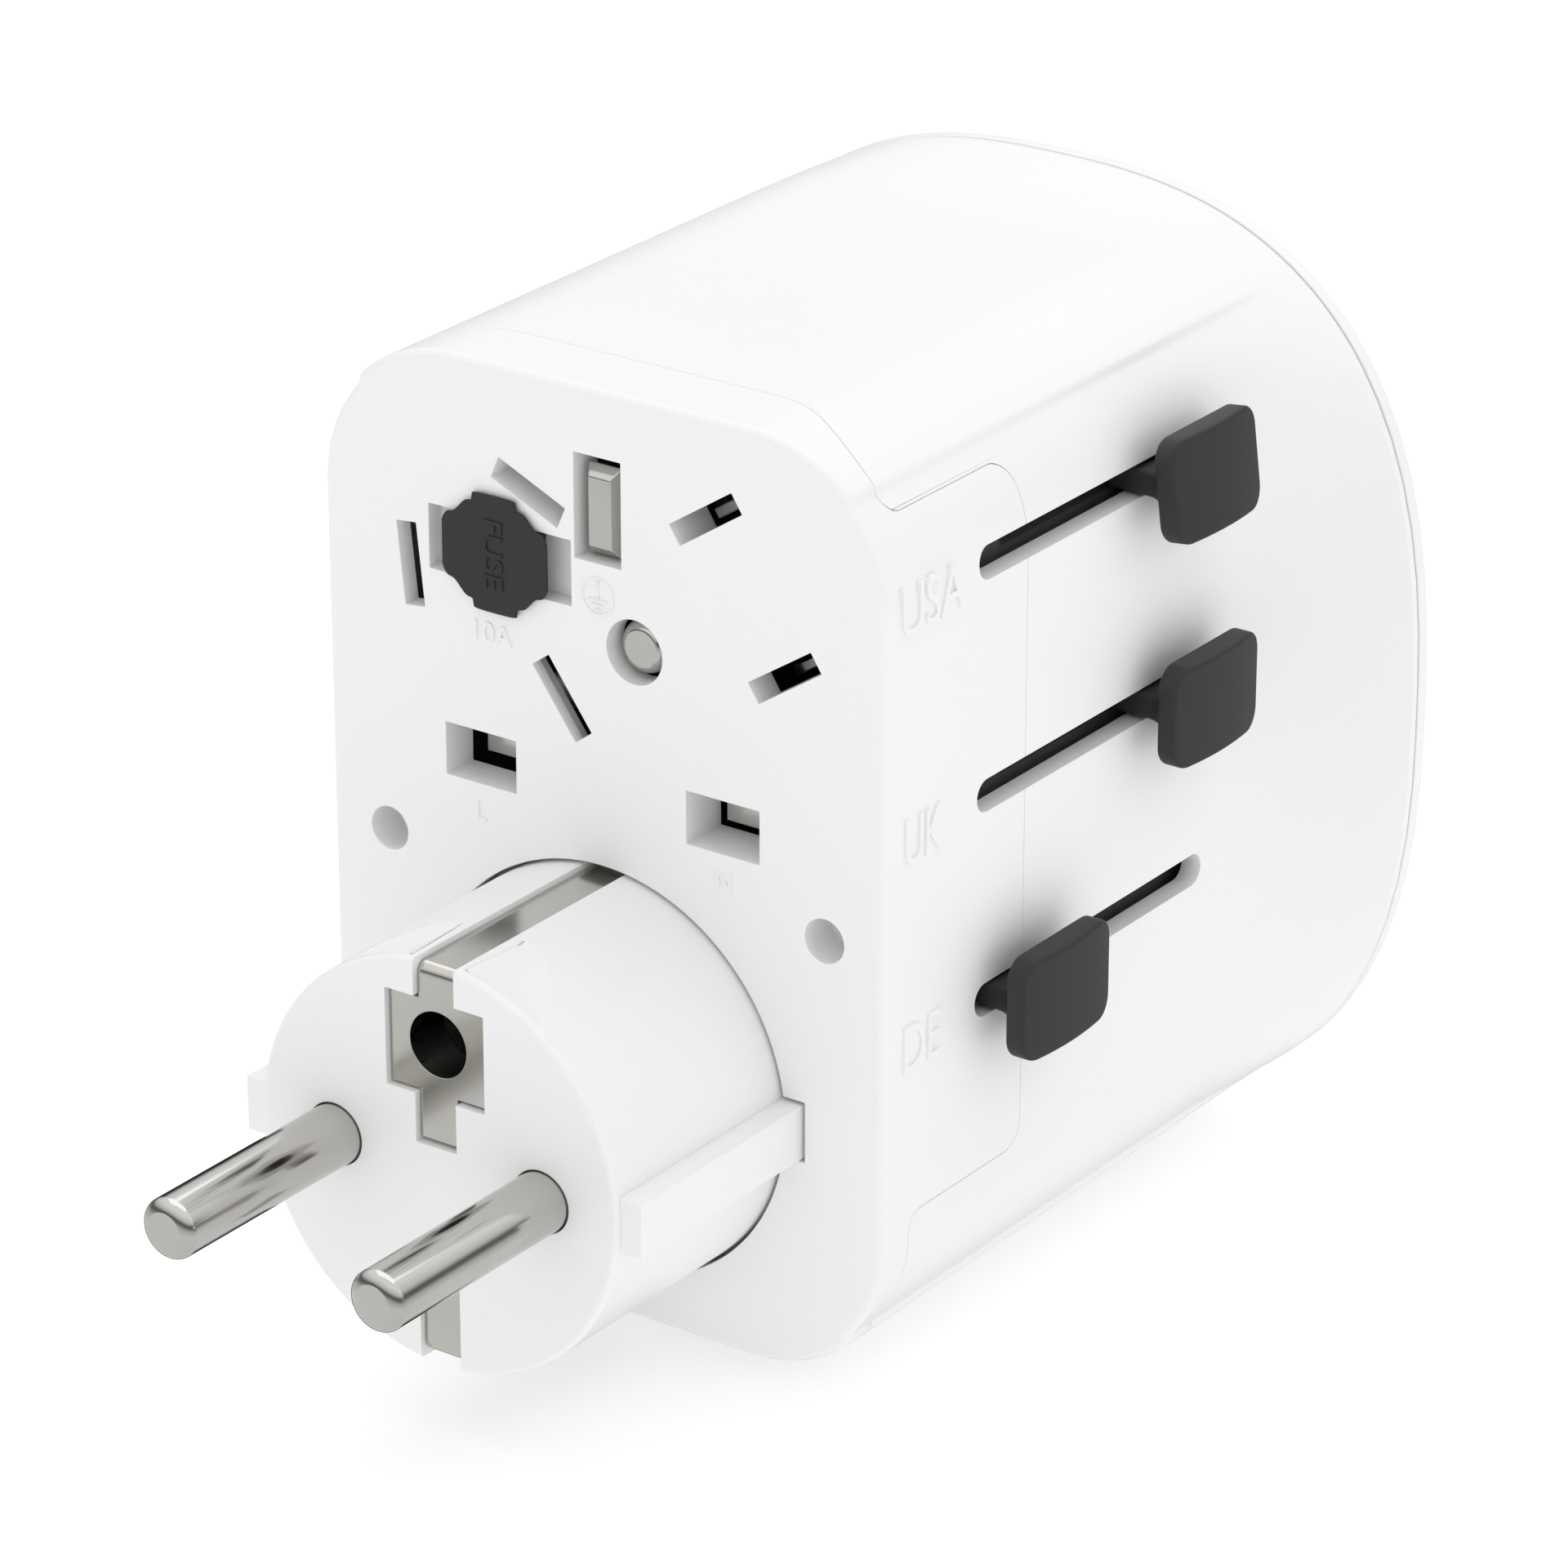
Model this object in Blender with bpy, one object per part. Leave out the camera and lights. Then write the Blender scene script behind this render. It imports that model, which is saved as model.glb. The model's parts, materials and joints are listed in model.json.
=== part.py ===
"""Universal travel adapter with slide-out UK, US, Australian and Schuko plugs.

Metres, +Z up. The origin lies on the plug face, midway between the UK line and neutral pins:
X runs across the face, Y runs into the body, so the plugs slide out along -Y.
"""
import math

import bmesh
import bpy
from mathutils import Matrix, Vector

MM = 0.001
GAP = 0.3 * MM          # between neighbouring pieces
SEAM = 0.2 * MM         # parting line between the outer shells
WALL = 2.2 * MM         # shells

# Body: a rounded rectangle at the plug face that flares into an oval rim at the rear
HALF_WIDTH = 25.5 * MM
HALF_HEIGHT = 37.15 * MM
CORNER = 12.5 * MM
CENTRE_Z = -5.65 * MM
FLARE_START = 46.0 * MM
RIM_Y = 59.9 * MM
RIM_HALF_WIDTH = 34.4 * MM
RIM_HALF_HEIGHT = 39.0 * MM
RIM_POWER = 2.6
FLARE_TURN = math.radians(72)
PLATE_DEPTH = 1.5 * MM
COVER_DEPTH = 5.6 * MM  # front cover above and below the tongues
TONGUE_DEPTH = 18.1 * MM
TONGUE_TOP = 26.6 * MM
TONGUE_BOTTOM = -29.3 * MM

# Plug standards: pin sections, pitches and places on the plug face
UK_HALF_PITCH = 11.115 * MM
UK_EARTH_Z = 22.23 * MM
UK_PIN = (6.35 * MM, 4.0 * MM)
UK_EARTH_PIN = (4.0 * MM, 8.0 * MM)
US_CENTRE = Vector((13.18 * MM, 18.43 * MM))
US_TURN = math.radians(33.25)
US_HALF_PITCH = 6.35 * MM
US_GROUND_OUT = 11.9 * MM
US_BLADE = (6.35 * MM, 1.5 * MM)
US_GROUND_RADIUS = 2.38 * MM
AUS_CENTRE = Vector((-9.53 * MM, 14.97 * MM))
AUS_TURN = math.radians(126.2)
AUS_BLADE = (6.35 * MM, 1.6 * MM)
AUS_SLANT = math.radians(30)
AUS_PIN_OUT = 7.92 * MM
AUS_EARTH_OUT = 10.31 * MM
DE_CENTRE = Vector((0.0, -22.6 * MM))
DE_HALF_PITCH = 9.5 * MM
DE_PIN_RADIUS = 2.4 * MM
DE_PIN_OUT = 19.4 * MM
DE_RADIUS = 16.4 * MM

# Sliders
DE_TRAVEL = 20.2 * MM
SLOT_FRONT = 11.8 * MM
SLOT_REAR = 42.9 * MM
SLOT_HALF = 1.3 * MM
USA_Z = 19.8 * MM
UK_Z = 1.6 * MM
DE_Z = -14.9 * MM
AUS_Z = 9.0 * MM
KNOB_BACK = 38.0 * MM   # knob centre with the plug drawn in
USA_KNOB_BACK = 37.2 * MM
DE_KNOB_OUT = 18.0 * MM
KNOB_HALF_LENGTH = 5.85 * MM
KNOB_HALF_HEIGHT = 4.1 * MM
KNOB_INNER_X = 28.0 * MM
KNOB_OUTER_X = 30.0 * MM
STEM_HALF_HEIGHT = 1.0 * MM
INNER_SLOT_FRONT = 18.9 * MM
SIDE_PLATE_X = (21.0 * MM, 22.4 * MM)
CARRIER_FRONT = 25.0 * MM
CARRIER_REAR = 31.0 * MM
CARRIER_SIDE_X = 20.4 * MM
BULKHEAD = (45.2 * MM, 46.9 * MM)

# Schuko drive: pinion between a fixed rack and the pin carriage's rack
PINION_PITCH_RADIUS = 3.0 * MM
PINION_TEETH = 12
PINION_Y = 7.4 * MM
PINION_Z = -31.0 * MM
BLOCK_FRONT = -DE_TRAVEL

# Fuse
FUSE_CENTRE = Vector((-9.2 * MM, 16.8 * MM))
FUSE_RECESS = 2.2 * MM
FUSE_RADIUS = 2.6 * MM
FUSE_LENGTH = 20.0 * MM

# Rear socket
SOCKET_Z = -12.0 * MM
SOCKET_CENTRE = Vector((0.0, -5.65 * MM))
SOCKET_RADIUS = 21.7 * MM
SOCKET_Y = (56.8 * MM, 61.3 * MM)
SHUTTER_TRAVEL = 7.6 * MM

# name: colour, roughness, metallic
FINISHES = {
    "white_plastic": ((0.86, 0.86, 0.86), 0.42, 0.0),
    "charcoal_plastic": ((0.055, 0.055, 0.057), 0.5, 0.0),
    "black_plastic": ((0.02, 0.02, 0.022), 0.45, 0.0),
    "nickel": ((0.66, 0.65, 0.62), 0.18, 1.0),
    "brass": ((0.72, 0.52, 0.22), 0.3, 1.0),
    "steel": ((0.55, 0.56, 0.58), 0.3, 1.0),
    "ceramic": ((0.80, 0.79, 0.74), 0.5, 0.0),
}


# ---------------------------------------------------------------- tools

def clear_scene():
    for obj in list(bpy.data.objects):
        bpy.data.objects.remove(obj, do_unlink=True)


def finish_named(name):
    if name in bpy.data.materials:
        return bpy.data.materials[name]
    colour, roughness, metallic = FINISHES[name]
    made = bpy.data.materials.new(name)
    made.use_nodes = True
    shader = made.node_tree.nodes["Principled BSDF"]
    shader.inputs["Base Color"].default_value = (*colour, 1.0)
    shader.inputs["Roughness"].default_value = roughness
    shader.inputs["Metallic"].default_value = metallic
    return made


def piece(name, bm, finish="white_plastic"):
    bmesh.ops.remove_doubles(bm, verts=bm.verts, dist=1e-7)
    bmesh.ops.recalc_face_normals(bm, faces=bm.faces)
    mesh = bpy.data.meshes.new(name)
    bm.to_mesh(mesh)
    bm.free()
    obj = bpy.data.objects.new(name, mesh)
    obj.data.materials.append(finish_named(finish))
    bpy.context.collection.objects.link(obj)
    return obj


def loft(name, rings, finish="white_plastic"):
    """Skin a stack of closed rings of 3D points and cap both ends."""
    bm = bmesh.new()
    loops = [[bm.verts.new(point) for point in ring] for ring in rings]
    count = len(loops[0])
    for low, high in zip(loops, loops[1:]):
        for i in range(count):
            j = (i + 1) % count
            bm.faces.new((low[i], low[j], high[j], high[i]))
    bm.faces.new(loops[0])
    bm.faces.new(loops[-1])
    return piece(name, bm, finish)


def prism(name, outline, start, end, finish="white_plastic", along="y"):
    """Extrude an outline: (x, z) points along Y, or (y, z) points along X, or (x, y) along Z."""
    place = {
        "x": lambda a, b, h: (h, a, b),
        "y": lambda a, b, h: (a, h, b),
        "z": lambda a, b, h: (a, b, h),
    }[along]
    rings = [[place(a, b, h) for a, b in outline] for h in (start, end)]
    return loft(name, rings, finish)


def box(name, low, high, finish="white_plastic"):
    outline = [(low[0], low[2]), (high[0], low[2]), (high[0], high[2]), (low[0], high[2])]
    return prism(name, outline, low[1], high[1], finish)


def circle(centre, radius, steps=32):
    turns = [2 * math.pi * i / steps for i in range(steps)]
    return [(centre[0] + radius * math.cos(t), centre[1] + radius * math.sin(t)) for t in turns]


def rectangle(centre, size, turn=0.0):
    """Corners of a rectangle, turned anticlockwise about its centre."""
    c, s = math.cos(turn), math.sin(turn)
    half_w, half_h = size[0] / 2, size[1] / 2
    corners = ((-half_w, -half_h), (half_w, -half_h), (half_w, half_h), (-half_w, half_h))
    return [(centre[0] + a * c - b * s, centre[1] + a * s + b * c) for a, b in corners]


def rounded_rectangle(low, high, radius, steps=6):
    points = []
    centres = (
        (high[0] - radius, high[1] - radius, 0),
        (low[0] + radius, high[1] - radius, 90),
        (low[0] + radius, low[1] + radius, 180),
        (high[0] - radius, low[1] + radius, 270),
    )
    for cx, cz, first in centres:
        for i in range(steps + 1):
            turn = math.radians(first + 90 * i / steps)
            points.append((cx + radius * math.cos(turn), cz + radius * math.sin(turn)))
    return points


def rod(name, centre, radius, start, end, finish, steps=24):
    return prism(name, circle(centre, radius, steps), start, end, finish)


def boolean(target, tool, operation):
    """Join or cut for good, then drop the tool."""
    modifier = target.modifiers.new(operation.lower(), "BOOLEAN")
    modifier.operation = operation
    modifier.object = tool
    bpy.context.view_layer.update()
    evaluated = target.evaluated_get(bpy.context.evaluated_depsgraph_get())
    mesh = bpy.data.meshes.new_from_object(evaluated)
    target.modifiers.clear()
    target.data = mesh
    bpy.data.objects.remove(tool, do_unlink=True)


def cut(target, tool):
    boolean(target, tool, "DIFFERENCE")


def join(target, tool):
    boolean(target, tool, "UNION")


def smooth(obj, degrees=35):
    obj.data.shade_smooth()
    obj.data.set_sharp_from_angle(angle=math.radians(degrees))


def body_axis(name, origin, pieces):
    """Parent the pieces of one moving body to an empty on its axis, keeping their places."""
    empty = bpy.data.objects.new(name, None)
    empty.location = origin
    bpy.context.collection.objects.link(empty)
    for obj in pieces:
        obj.data.transform(Matrix.Translation(-Vector(origin)))
        obj.parent = empty


# ---------------------------------------------------------------- outlines of the pins

def us_blade_places():
    """Centres of the two US blades, side by side across their long axis."""
    across = Vector((-math.sin(US_TURN), math.cos(US_TURN)))
    return [US_CENTRE + side * US_HALF_PITCH * across for side in (1, -1)]


def us_ground_place():
    along = Vector((math.cos(US_TURN), math.sin(US_TURN)))
    return US_CENTRE - US_GROUND_OUT * along


def aus_blade_places():
    """(centre, turn) of the line, neutral and earth blades: a star about the pattern's centre."""
    places = []
    for spread, turn, out in (
        (math.radians(-60), AUS_SLANT, AUS_PIN_OUT),
        (math.radians(60), -AUS_SLANT, AUS_PIN_OUT),
        (math.radians(180), 0.0, AUS_EARTH_OUT),
    ):
        ray = AUS_TURN + spread
        centre = AUS_CENTRE + out * Vector((math.cos(ray), math.sin(ray)))
        places.append((centre, AUS_TURN + turn))
    return places


def de_pin_places():
    return [DE_CENTRE + Vector((side * DE_HALF_PITCH, 0.0)) for side in (-1, 1)]


# ---------------------------------------------------------------- body outline

def corner_angles(half_w, half_h, radius):
    """Polar angles that follow a rounded rectangle's corners and divide its sides."""
    outline = rounded_rectangle((-half_w, -half_h), (half_w, half_h), radius, 8)
    angles = []
    for (x0, z0), (x1, z1) in zip(outline, outline[1:] + outline[:1]):
        parts = 6 if math.hypot(x1 - x0, z1 - z0) > radius / 2 else 1
        for i in range(parts):
            f = i / parts
            angles.append(math.atan2(z0 + (z1 - z0) * f, x0 + (x1 - x0) * f))
    return angles


BODY_ANGLES = corner_angles(HALF_WIDTH, HALF_HEIGHT, CORNER)


def rounded_rectangle_reach(angle, half_w, half_h, radius):
    """Distance from the centre to a rounded rectangle along one direction."""
    c, s = abs(math.cos(angle)), abs(math.sin(angle))
    reach = min(half_w / max(c, 1e-9), half_h / max(s, 1e-9))
    corner_x, corner_z = half_w - radius, half_h - radius
    if c * reach > corner_x and s * reach > corner_z:
        along = c * corner_x + s * corner_z
        away = corner_x ** 2 + corner_z ** 2 - radius ** 2
        reach = along + math.sqrt(max(along ** 2 - away, 0.0))
    return reach


def oval_reach(angle, half_w, half_h):
    c, s = abs(math.cos(angle)) / half_w, abs(math.sin(angle)) / half_h
    return (c ** RIM_POWER + s ** RIM_POWER) ** (-1 / RIM_POWER)


def body_ring(y, inset=0.0, shift=0.0):
    """The body's outline at depth y: the front outline grows into the rim along a cosine fillet."""
    travel = (y - shift - FLARE_START) / (RIM_Y - FLARE_START)
    travel = min(max(travel, 0.0), 1.0)
    grown = (1 - math.cos(FLARE_TURN * travel)) / (1 - math.cos(FLARE_TURN))
    ring = []
    for angle in BODY_ANGLES:
        front = rounded_rectangle_reach(
            angle, HALF_WIDTH - inset, HALF_HEIGHT - inset, CORNER - inset
        )
        rim = oval_reach(angle, RIM_HALF_WIDTH - inset, RIM_HALF_HEIGHT - inset)
        reach = front + (rim - front) * grown
        ring.append((reach * math.cos(angle), y, CENTRE_Z + reach * math.sin(angle)))
    return ring


def slot_tool(z, side):
    """A round-ended slider slot through one side wall."""
    outline = rounded_rectangle(
        (SLOT_FRONT, z - SLOT_HALF), (SLOT_REAR, z + SLOT_HALF), SLOT_HALF * 0.999
    )
    low, high = sorted((side * 20 * MM, side * 30 * MM))
    return prism("slot", outline, low, high, along="x")


def full_shell():
    """Front cover and main shell in one, before they are parted."""
    bevel = 0.7 * MM
    stations = [(0.0, bevel), (bevel * 0.3, bevel * 0.3), (bevel, 0.0), (FLARE_START, 0.0)]
    flare_steps = 7
    for i in range(1, flare_steps + 1):
        stations.append((FLARE_START + (RIM_Y - FLARE_START) * i / flare_steps, 0.0))
    shell = loft("shell", [body_ring(y, inset) for y, inset in stations])
    inner_y = [WALL, FLARE_START + WALL]
    inner_y += [FLARE_START + WALL + (RIM_Y - FLARE_START - WALL) * i / 4 for i in range(1, 5)]
    rings = [body_ring(y, WALL, WALL) for y in inner_y]
    rings.append([(x, RIM_Y + WALL, z) for x, _, z in rings[-1]])
    cut(shell, loft("hollow", rings))
    for z, side in ((USA_Z, 1), (UK_Z, 1), (DE_Z, 1), (AUS_Z, -1)):
        cut(shell, slot_tool(z, side))
    return shell


def cover_region(grow):
    """The space that belongs to the front cover: a slab, and a tongue down each side."""
    reach = 45 * MM
    slab = box("region", (-reach, -reach, -2 * reach), (reach, COVER_DEPTH + grow, reach))
    back_corner = 4.5 * MM
    tongue = rounded_rectangle(
        (-10 * MM, TONGUE_BOTTOM - grow), (TONGUE_DEPTH + grow, TONGUE_TOP + grow), back_corner, 5
    )
    inner = 13.5 * MM
    for low, high in ((inner, reach), (-reach, -inner)):
        join(slab, prism("tongue", tongue, low - grow, high + grow, along="x"))
    return slab


# ---------------------------------------------------------------- shells

def grown_slot(centre, size, turn=0.0):
    slack = 0.25 * MM
    return rectangle(centre, (size[0] + slack, size[1] + slack), turn)


def through_face(cover, outline, depth=8 * MM):
    cut(cover, prism("hole", outline, -depth, depth))


def make_front_cover(cover):
    cover.name = "front_cover"
    region = cover_region(0.0)
    boolean(cover, region, "INTERSECT")
    recess_low, recess_high = (-15.6 * MM, 14.2 * MM), (-2.45 * MM, 19.35 * MM)
    rim = 0.8 * MM
    boss = box(
        "boss",
        (recess_low[0] - rim, WALL - 0.5 * MM, recess_low[1] - rim),
        (recess_high[0] + rim, 4.2 * MM, recess_high[1] + rim),
    )
    join(cover, boss)
    collar = 1.0 * MM
    for side, depth in ((-1, 3.3 * MM), (1, 4.3 * MM)):
        low_x = side * UK_HALF_PITCH - UK_PIN[0] / 2 - collar
        low = (low_x, WALL - 0.5 * MM, -UK_PIN[1] / 2 - collar)
        high = (low_x + UK_PIN[0] + 2 * collar, depth, UK_PIN[1] / 2 + collar)
        join(cover, box("collar", low, high))
        through_face(cover, grown_slot((side * UK_HALF_PITCH, 0.0), UK_PIN))
    through_face(cover, grown_slot((0.0, UK_EARTH_Z), UK_EARTH_PIN))
    for centre in us_blade_places():
        through_face(cover, grown_slot(centre, US_BLADE, US_TURN))
    through_face(cover, circle(us_ground_place(), US_GROUND_RADIUS + 0.15 * MM))
    for centre, turn in aus_blade_places():
        through_face(cover, grown_slot(centre, AUS_BLADE, turn))
    cut(
        cover,
        box(
            "recess",
            (recess_low[0], -1 * MM, recess_low[1]),
            (recess_high[0], FUSE_RECESS, recess_high[1]),
        ),
    )
    through_face(cover, circle(FUSE_CENTRE, FUSE_RADIUS + 0.5 * MM))
    dimple = 0.8 * MM
    for centre in ((-20.0 * MM, -8.0 * MM), (20.2 * MM, -6.65 * MM)):
        cut(cover, prism("dimple", circle(centre, 1.75 * MM, 24), -1 * MM, dimple))
    through_face(cover, circle(DE_CENTRE, DE_RADIUS + GAP, 72))
    through_face(cover, rectangle((0.0, -22.65 * MM), (37.0 * MM, 4.9 * MM)))
    return cover


def make_main_shell(shell):
    shell.name = "main_shell"
    cut(shell, cover_region(SEAM))
    start, end = 37 * MM, BULKHEAD[0] - GAP
    for x, z in screw_places():
        wall_z = z + math.copysign(4.2 * MM, z)
        join(shell, rod("post", (x, z), 2.4 * MM, start, end, "white_plastic", 16))
        low = (x - 1.4 * MM, start, min(z, wall_z))
        high = (x + 1.4 * MM, end, max(z, wall_z))
        join(shell, box("rib", low, high))
        cut(shell, rod("pilot", (x, z), 1.3 * MM, start + 0.8 * MM, 50 * MM, "white_plastic", 16))
    return shell


def make_rear_plate():
    """Oval plate with a skirt that plugs into the rim and a round opening for the socket."""
    edge = 0.5 * MM
    start = RIM_Y + SEAM
    end = start + PLATE_DEPTH
    rings = [
        body_ring(RIM_Y, 0.15 * MM),
        body_ring(RIM_Y, 0.0),
        body_ring(RIM_Y, 0.0),
        body_ring(RIM_Y, edge),
    ]
    heights = (start, start + 0.15 * MM, end - edge, end)
    rings = [[(x, y, z) for x, _, z in ring] for ring, y in zip(rings, heights)]
    plate = loft("rear_plate", rings)
    front = start - 2.6 * MM
    outer = body_ring(front, WALL + GAP, WALL)
    inner = body_ring(front, WALL + GAP + 1.4 * MM, WALL)
    skirt = loft("skirt", [[(x, y, z) for x, _, z in outer] for y in (front, start + edge)])
    cut(skirt, loft("hollow", [[(x, y, z) for x, _, z in inner] for y in (front - MM, start)]))
    join(plate, skirt)
    cut(plate, rod("opening", SOCKET_CENTRE, SOCKET_RADIUS + GAP, 50 * MM, 70 * MM, "white_plastic", 64))
    return plate


def socket_apertures():
    """Outlines of the socket's openings: line and neutral for wide, round and upright pins, and earth."""
    outlines = []
    for side in (-1, 1):
        outlines.append(rectangle((side * 10.0 * MM, SOCKET_Z), (9.6 * MM, 5.4 * MM)))
        outlines.append(rectangle((side * 6.35 * MM, SOCKET_Z), (2.2 * MM, 7.2 * MM)))
    outlines.append(rectangle((0.0, SOCKET_Z + UK_EARTH_Z), (4.8 * MM, 8.8 * MM)))
    outlines.append(circle((0.0, SOCKET_Z + US_GROUND_OUT), 2.7 * MM))
    return outlines


def make_socket_face():
    start, end = SOCKET_Y
    lip = 1.8 * MM
    face = rod("socket_face", SOCKET_CENTRE, SOCKET_RADIUS, start, end, "white_plastic", 64)
    flange = rod(
        "flange", SOCKET_CENTRE, SOCKET_RADIUS + lip, start, RIM_Y + SEAM - GAP, "white_plastic", 64
    )
    join(face, flange)
    for outline in socket_apertures():
        cut(face, prism("aperture", outline, start - 5 * MM, end + 5 * MM))
    return face


def make_guide_frame():
    """Bulkhead behind the carriers, with slotted side plates that guide their arms."""
    start, end = BULKHEAD
    inset = WALL + GAP
    ring = body_ring(0.0, inset)
    frame = loft(
        "guide_frame", [[(x, y, z) for x, _, z in ring] for y in (start, end)], "black_plastic"
    )
    low_x, high_x = SIDE_PLATE_X
    plate_z = (-33.0 * MM, 21.8 * MM)
    plate_front = 8.0 * MM
    slots = {1: (USA_Z, UK_Z, DE_Z), -1: (AUS_Z,)}
    for side, slot_heights in slots.items():
        x0, x1 = sorted((side * low_x, side * high_x))
        plate = box(
            "plate", (x0, plate_front, plate_z[0]), (x1, start + 0.5 * MM, plate_z[1]), "black_plastic"
        )
        for z in slot_heights:
            half = STEM_HALF_HEIGHT + GAP
            low = (x0 - MM, INNER_SLOT_FRONT, z - half)
            cut(plate, box("slot", low, (x1 + MM, 44.0 * MM, z + half)))
        join(frame, plate)
    cut(frame, box("rack_window", (-3 * MM, 40 * MM, -30 * MM), (3 * MM, 50 * MM, -24.5 * MM)))
    for side in (-1, 1):
        x0, x1 = sorted((side * 19.1 * MM, side * 20.6 * MM))
        cut(frame, box("busbar_window", (x0, 44 * MM, -34.4 * MM), (x1, 50 * MM, -23.6 * MM)))
    cut(frame, box("earth_window", (-5.4 * MM, 40 * MM, 27.6 * MM), (5.4 * MM, 50 * MM, 32 * MM)))
    cut(frame, rod("fuse_window", FUSE_CENTRE, 1.5 * MM, 40 * MM, 50 * MM, "black_plastic", 16))
    for x, z in screw_places():
        cut(frame, rod("screw_hole", (x, z), 1.5 * MM, 40 * MM, 50 * MM, "black_plastic", 16))
    return frame


def screw_places():
    return [(x, z) for x in (-15 * MM, 15 * MM) for z in (25.8 * MM, -37.1 * MM)]


def make_frame_screw(number, place):
    """Pan-head screw: head on the bulkhead, shank in the shell's post, cross recess in the head."""
    seat = BULKHEAD[1] + 0.1 * MM
    screw = rod(f"frame_screw_{number}", place, 1.0 * MM, 39.0 * MM, seat + 0.5 * MM, "steel", 16)
    join(screw, rod("head", place, 2.0 * MM, seat, seat + 1.3 * MM, "steel", 24))
    for size in ((2.2 * MM, 0.5 * MM), (0.5 * MM, 2.2 * MM)):
        cut(screw, prism("recess", rectangle(place, size), seat + 0.6 * MM, seat + 3 * MM))
    return screw


# ---------------------------------------------------------------- knobs

def make_knob(name, centre_y, z, side=1, tilt=0.0):
    """Pillow-shaped knob, hollowed along the slide direction, with its stem and inner arm."""
    corner = 2.2 * MM
    dish = 0.6 * MM
    edge = 0.3 * MM
    rings = []
    steps = 16
    for i in range(steps + 1):
        turn = math.pi * i / steps
        y = -KNOB_HALF_LENGTH * math.cos(turn)
        past = max(abs(y) - (KNOB_HALF_LENGTH - corner), 0.0)
        half = KNOB_HALF_HEIGHT - corner + math.sqrt(max(corner ** 2 - past ** 2, 0.0))
        outer = KNOB_OUTER_X - dish * (1 - (y / KNOB_HALF_LENGTH) ** 2)
        section = [
            (KNOB_INNER_X, -half + edge),
            (KNOB_INNER_X + edge, -half),
            (outer - edge, -half),
            (outer, -half + edge),
            (outer, half - edge),
            (outer - edge, half),
            (KNOB_INNER_X + edge, half),
            (KNOB_INNER_X, half - edge),
        ]
        rings.append([(x, y, h) for x, h in section])
    knob = loft(name, rings, "charcoal_plastic")
    if tilt:
        pivot = Matrix.Translation((KNOB_INNER_X, 0, 0))
        knob.data.transform(pivot @ Matrix.Rotation(tilt, 4, "Y") @ pivot.inverted())
    stem_front, stem_rear = -5.35 * MM, 3.95 * MM
    arm_front = 1.65 * MM
    half = STEM_HALF_HEIGHT
    inner_wall = HALF_WIDTH - WALL - GAP
    stem = box("stem", (inner_wall, stem_front, -half), (KNOB_INNER_X + MM, stem_rear, half))
    arm = box("arm", (CARRIER_SIDE_X + GAP, arm_front, -half), (inner_wall + MM, stem_rear, half))
    join(knob, stem)
    join(knob, arm)
    knob.data.transform(Matrix.Translation((0, centre_y, z)))
    if side < 0:
        knob.data.transform(Matrix.Scale(-1, 4, (1, 0, 0)))
        knob.data.flip_normals()
    knob.data.materials.clear()
    knob.data.materials.append(finish_named("charcoal_plastic"))
    return knob


# ---------------------------------------------------------------- pins and carriers

def chamfered_pin(name, centre, size, turn, tip, end, chamfer=0.6 * MM):
    """A rectangular pin or blade whose tip is chamfered all round."""
    small = (size[0] - 2 * chamfer, size[1] - 2 * chamfer * min(1, size[1] / 4 / chamfer))
    rings = []
    for y, shape in ((tip, small), (tip + chamfer * 1.4, size), (end, size)):
        rings.append([(x, y, z) for x, z in rectangle(centre, shape, turn)])
    return loft(name, rings, "nickel")


def round_pin(name, centre, radius, tip, end, finish="nickel"):
    """A round pin with a rounded tip that ends in a small flat."""
    flat = 0.55 * radius
    rings = []
    steps = 5
    for i in range(steps + 1):
        turn = math.pi / 2 * i / steps
        r = flat + (radius - flat) * math.sin(turn)
        y = tip + (radius - flat) * 1.5 * (1 - math.cos(turn))
        rings.append([(x, y, z) for x, z in circle(centre, r, 24)])
    rings.append([(x, end, z) for x, z in circle(centre, radius, 24)])
    return loft(name, rings, finish)


def carrier(name, low, high):
    return box(
        name, (low[0], CARRIER_FRONT, low[1]), (high[0], CARRIER_REAR, high[1]), "charcoal_plastic"
    )


def add_arm_bar(target, z, knob_y, side=1):
    """Bar from a carrier back to its knob's arm."""
    half = 1.5 * MM
    inner, outer = 17.6 * MM, CARRIER_SIDE_X
    x0, x1 = sorted((side * inner, side * outer))
    join(target, box("bar", (x0, CARRIER_FRONT, z - half), (x1, knob_y + 4.2 * MM, z + half)))


PIN_END = CARRIER_REAR - 1.5 * MM


def pocket(target, outline_maker):
    """Blind pocket that holds a pin in its carrier."""
    cut(target, prism("pocket", outline_maker, CARRIER_FRONT - 2 * MM, PIN_END + 0.2 * MM))


def pocket_outline(centre, size, turn=0.0):
    slack = 0.3 * MM
    return rectangle(centre, (size[0] + slack, size[1] + slack), turn)


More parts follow.
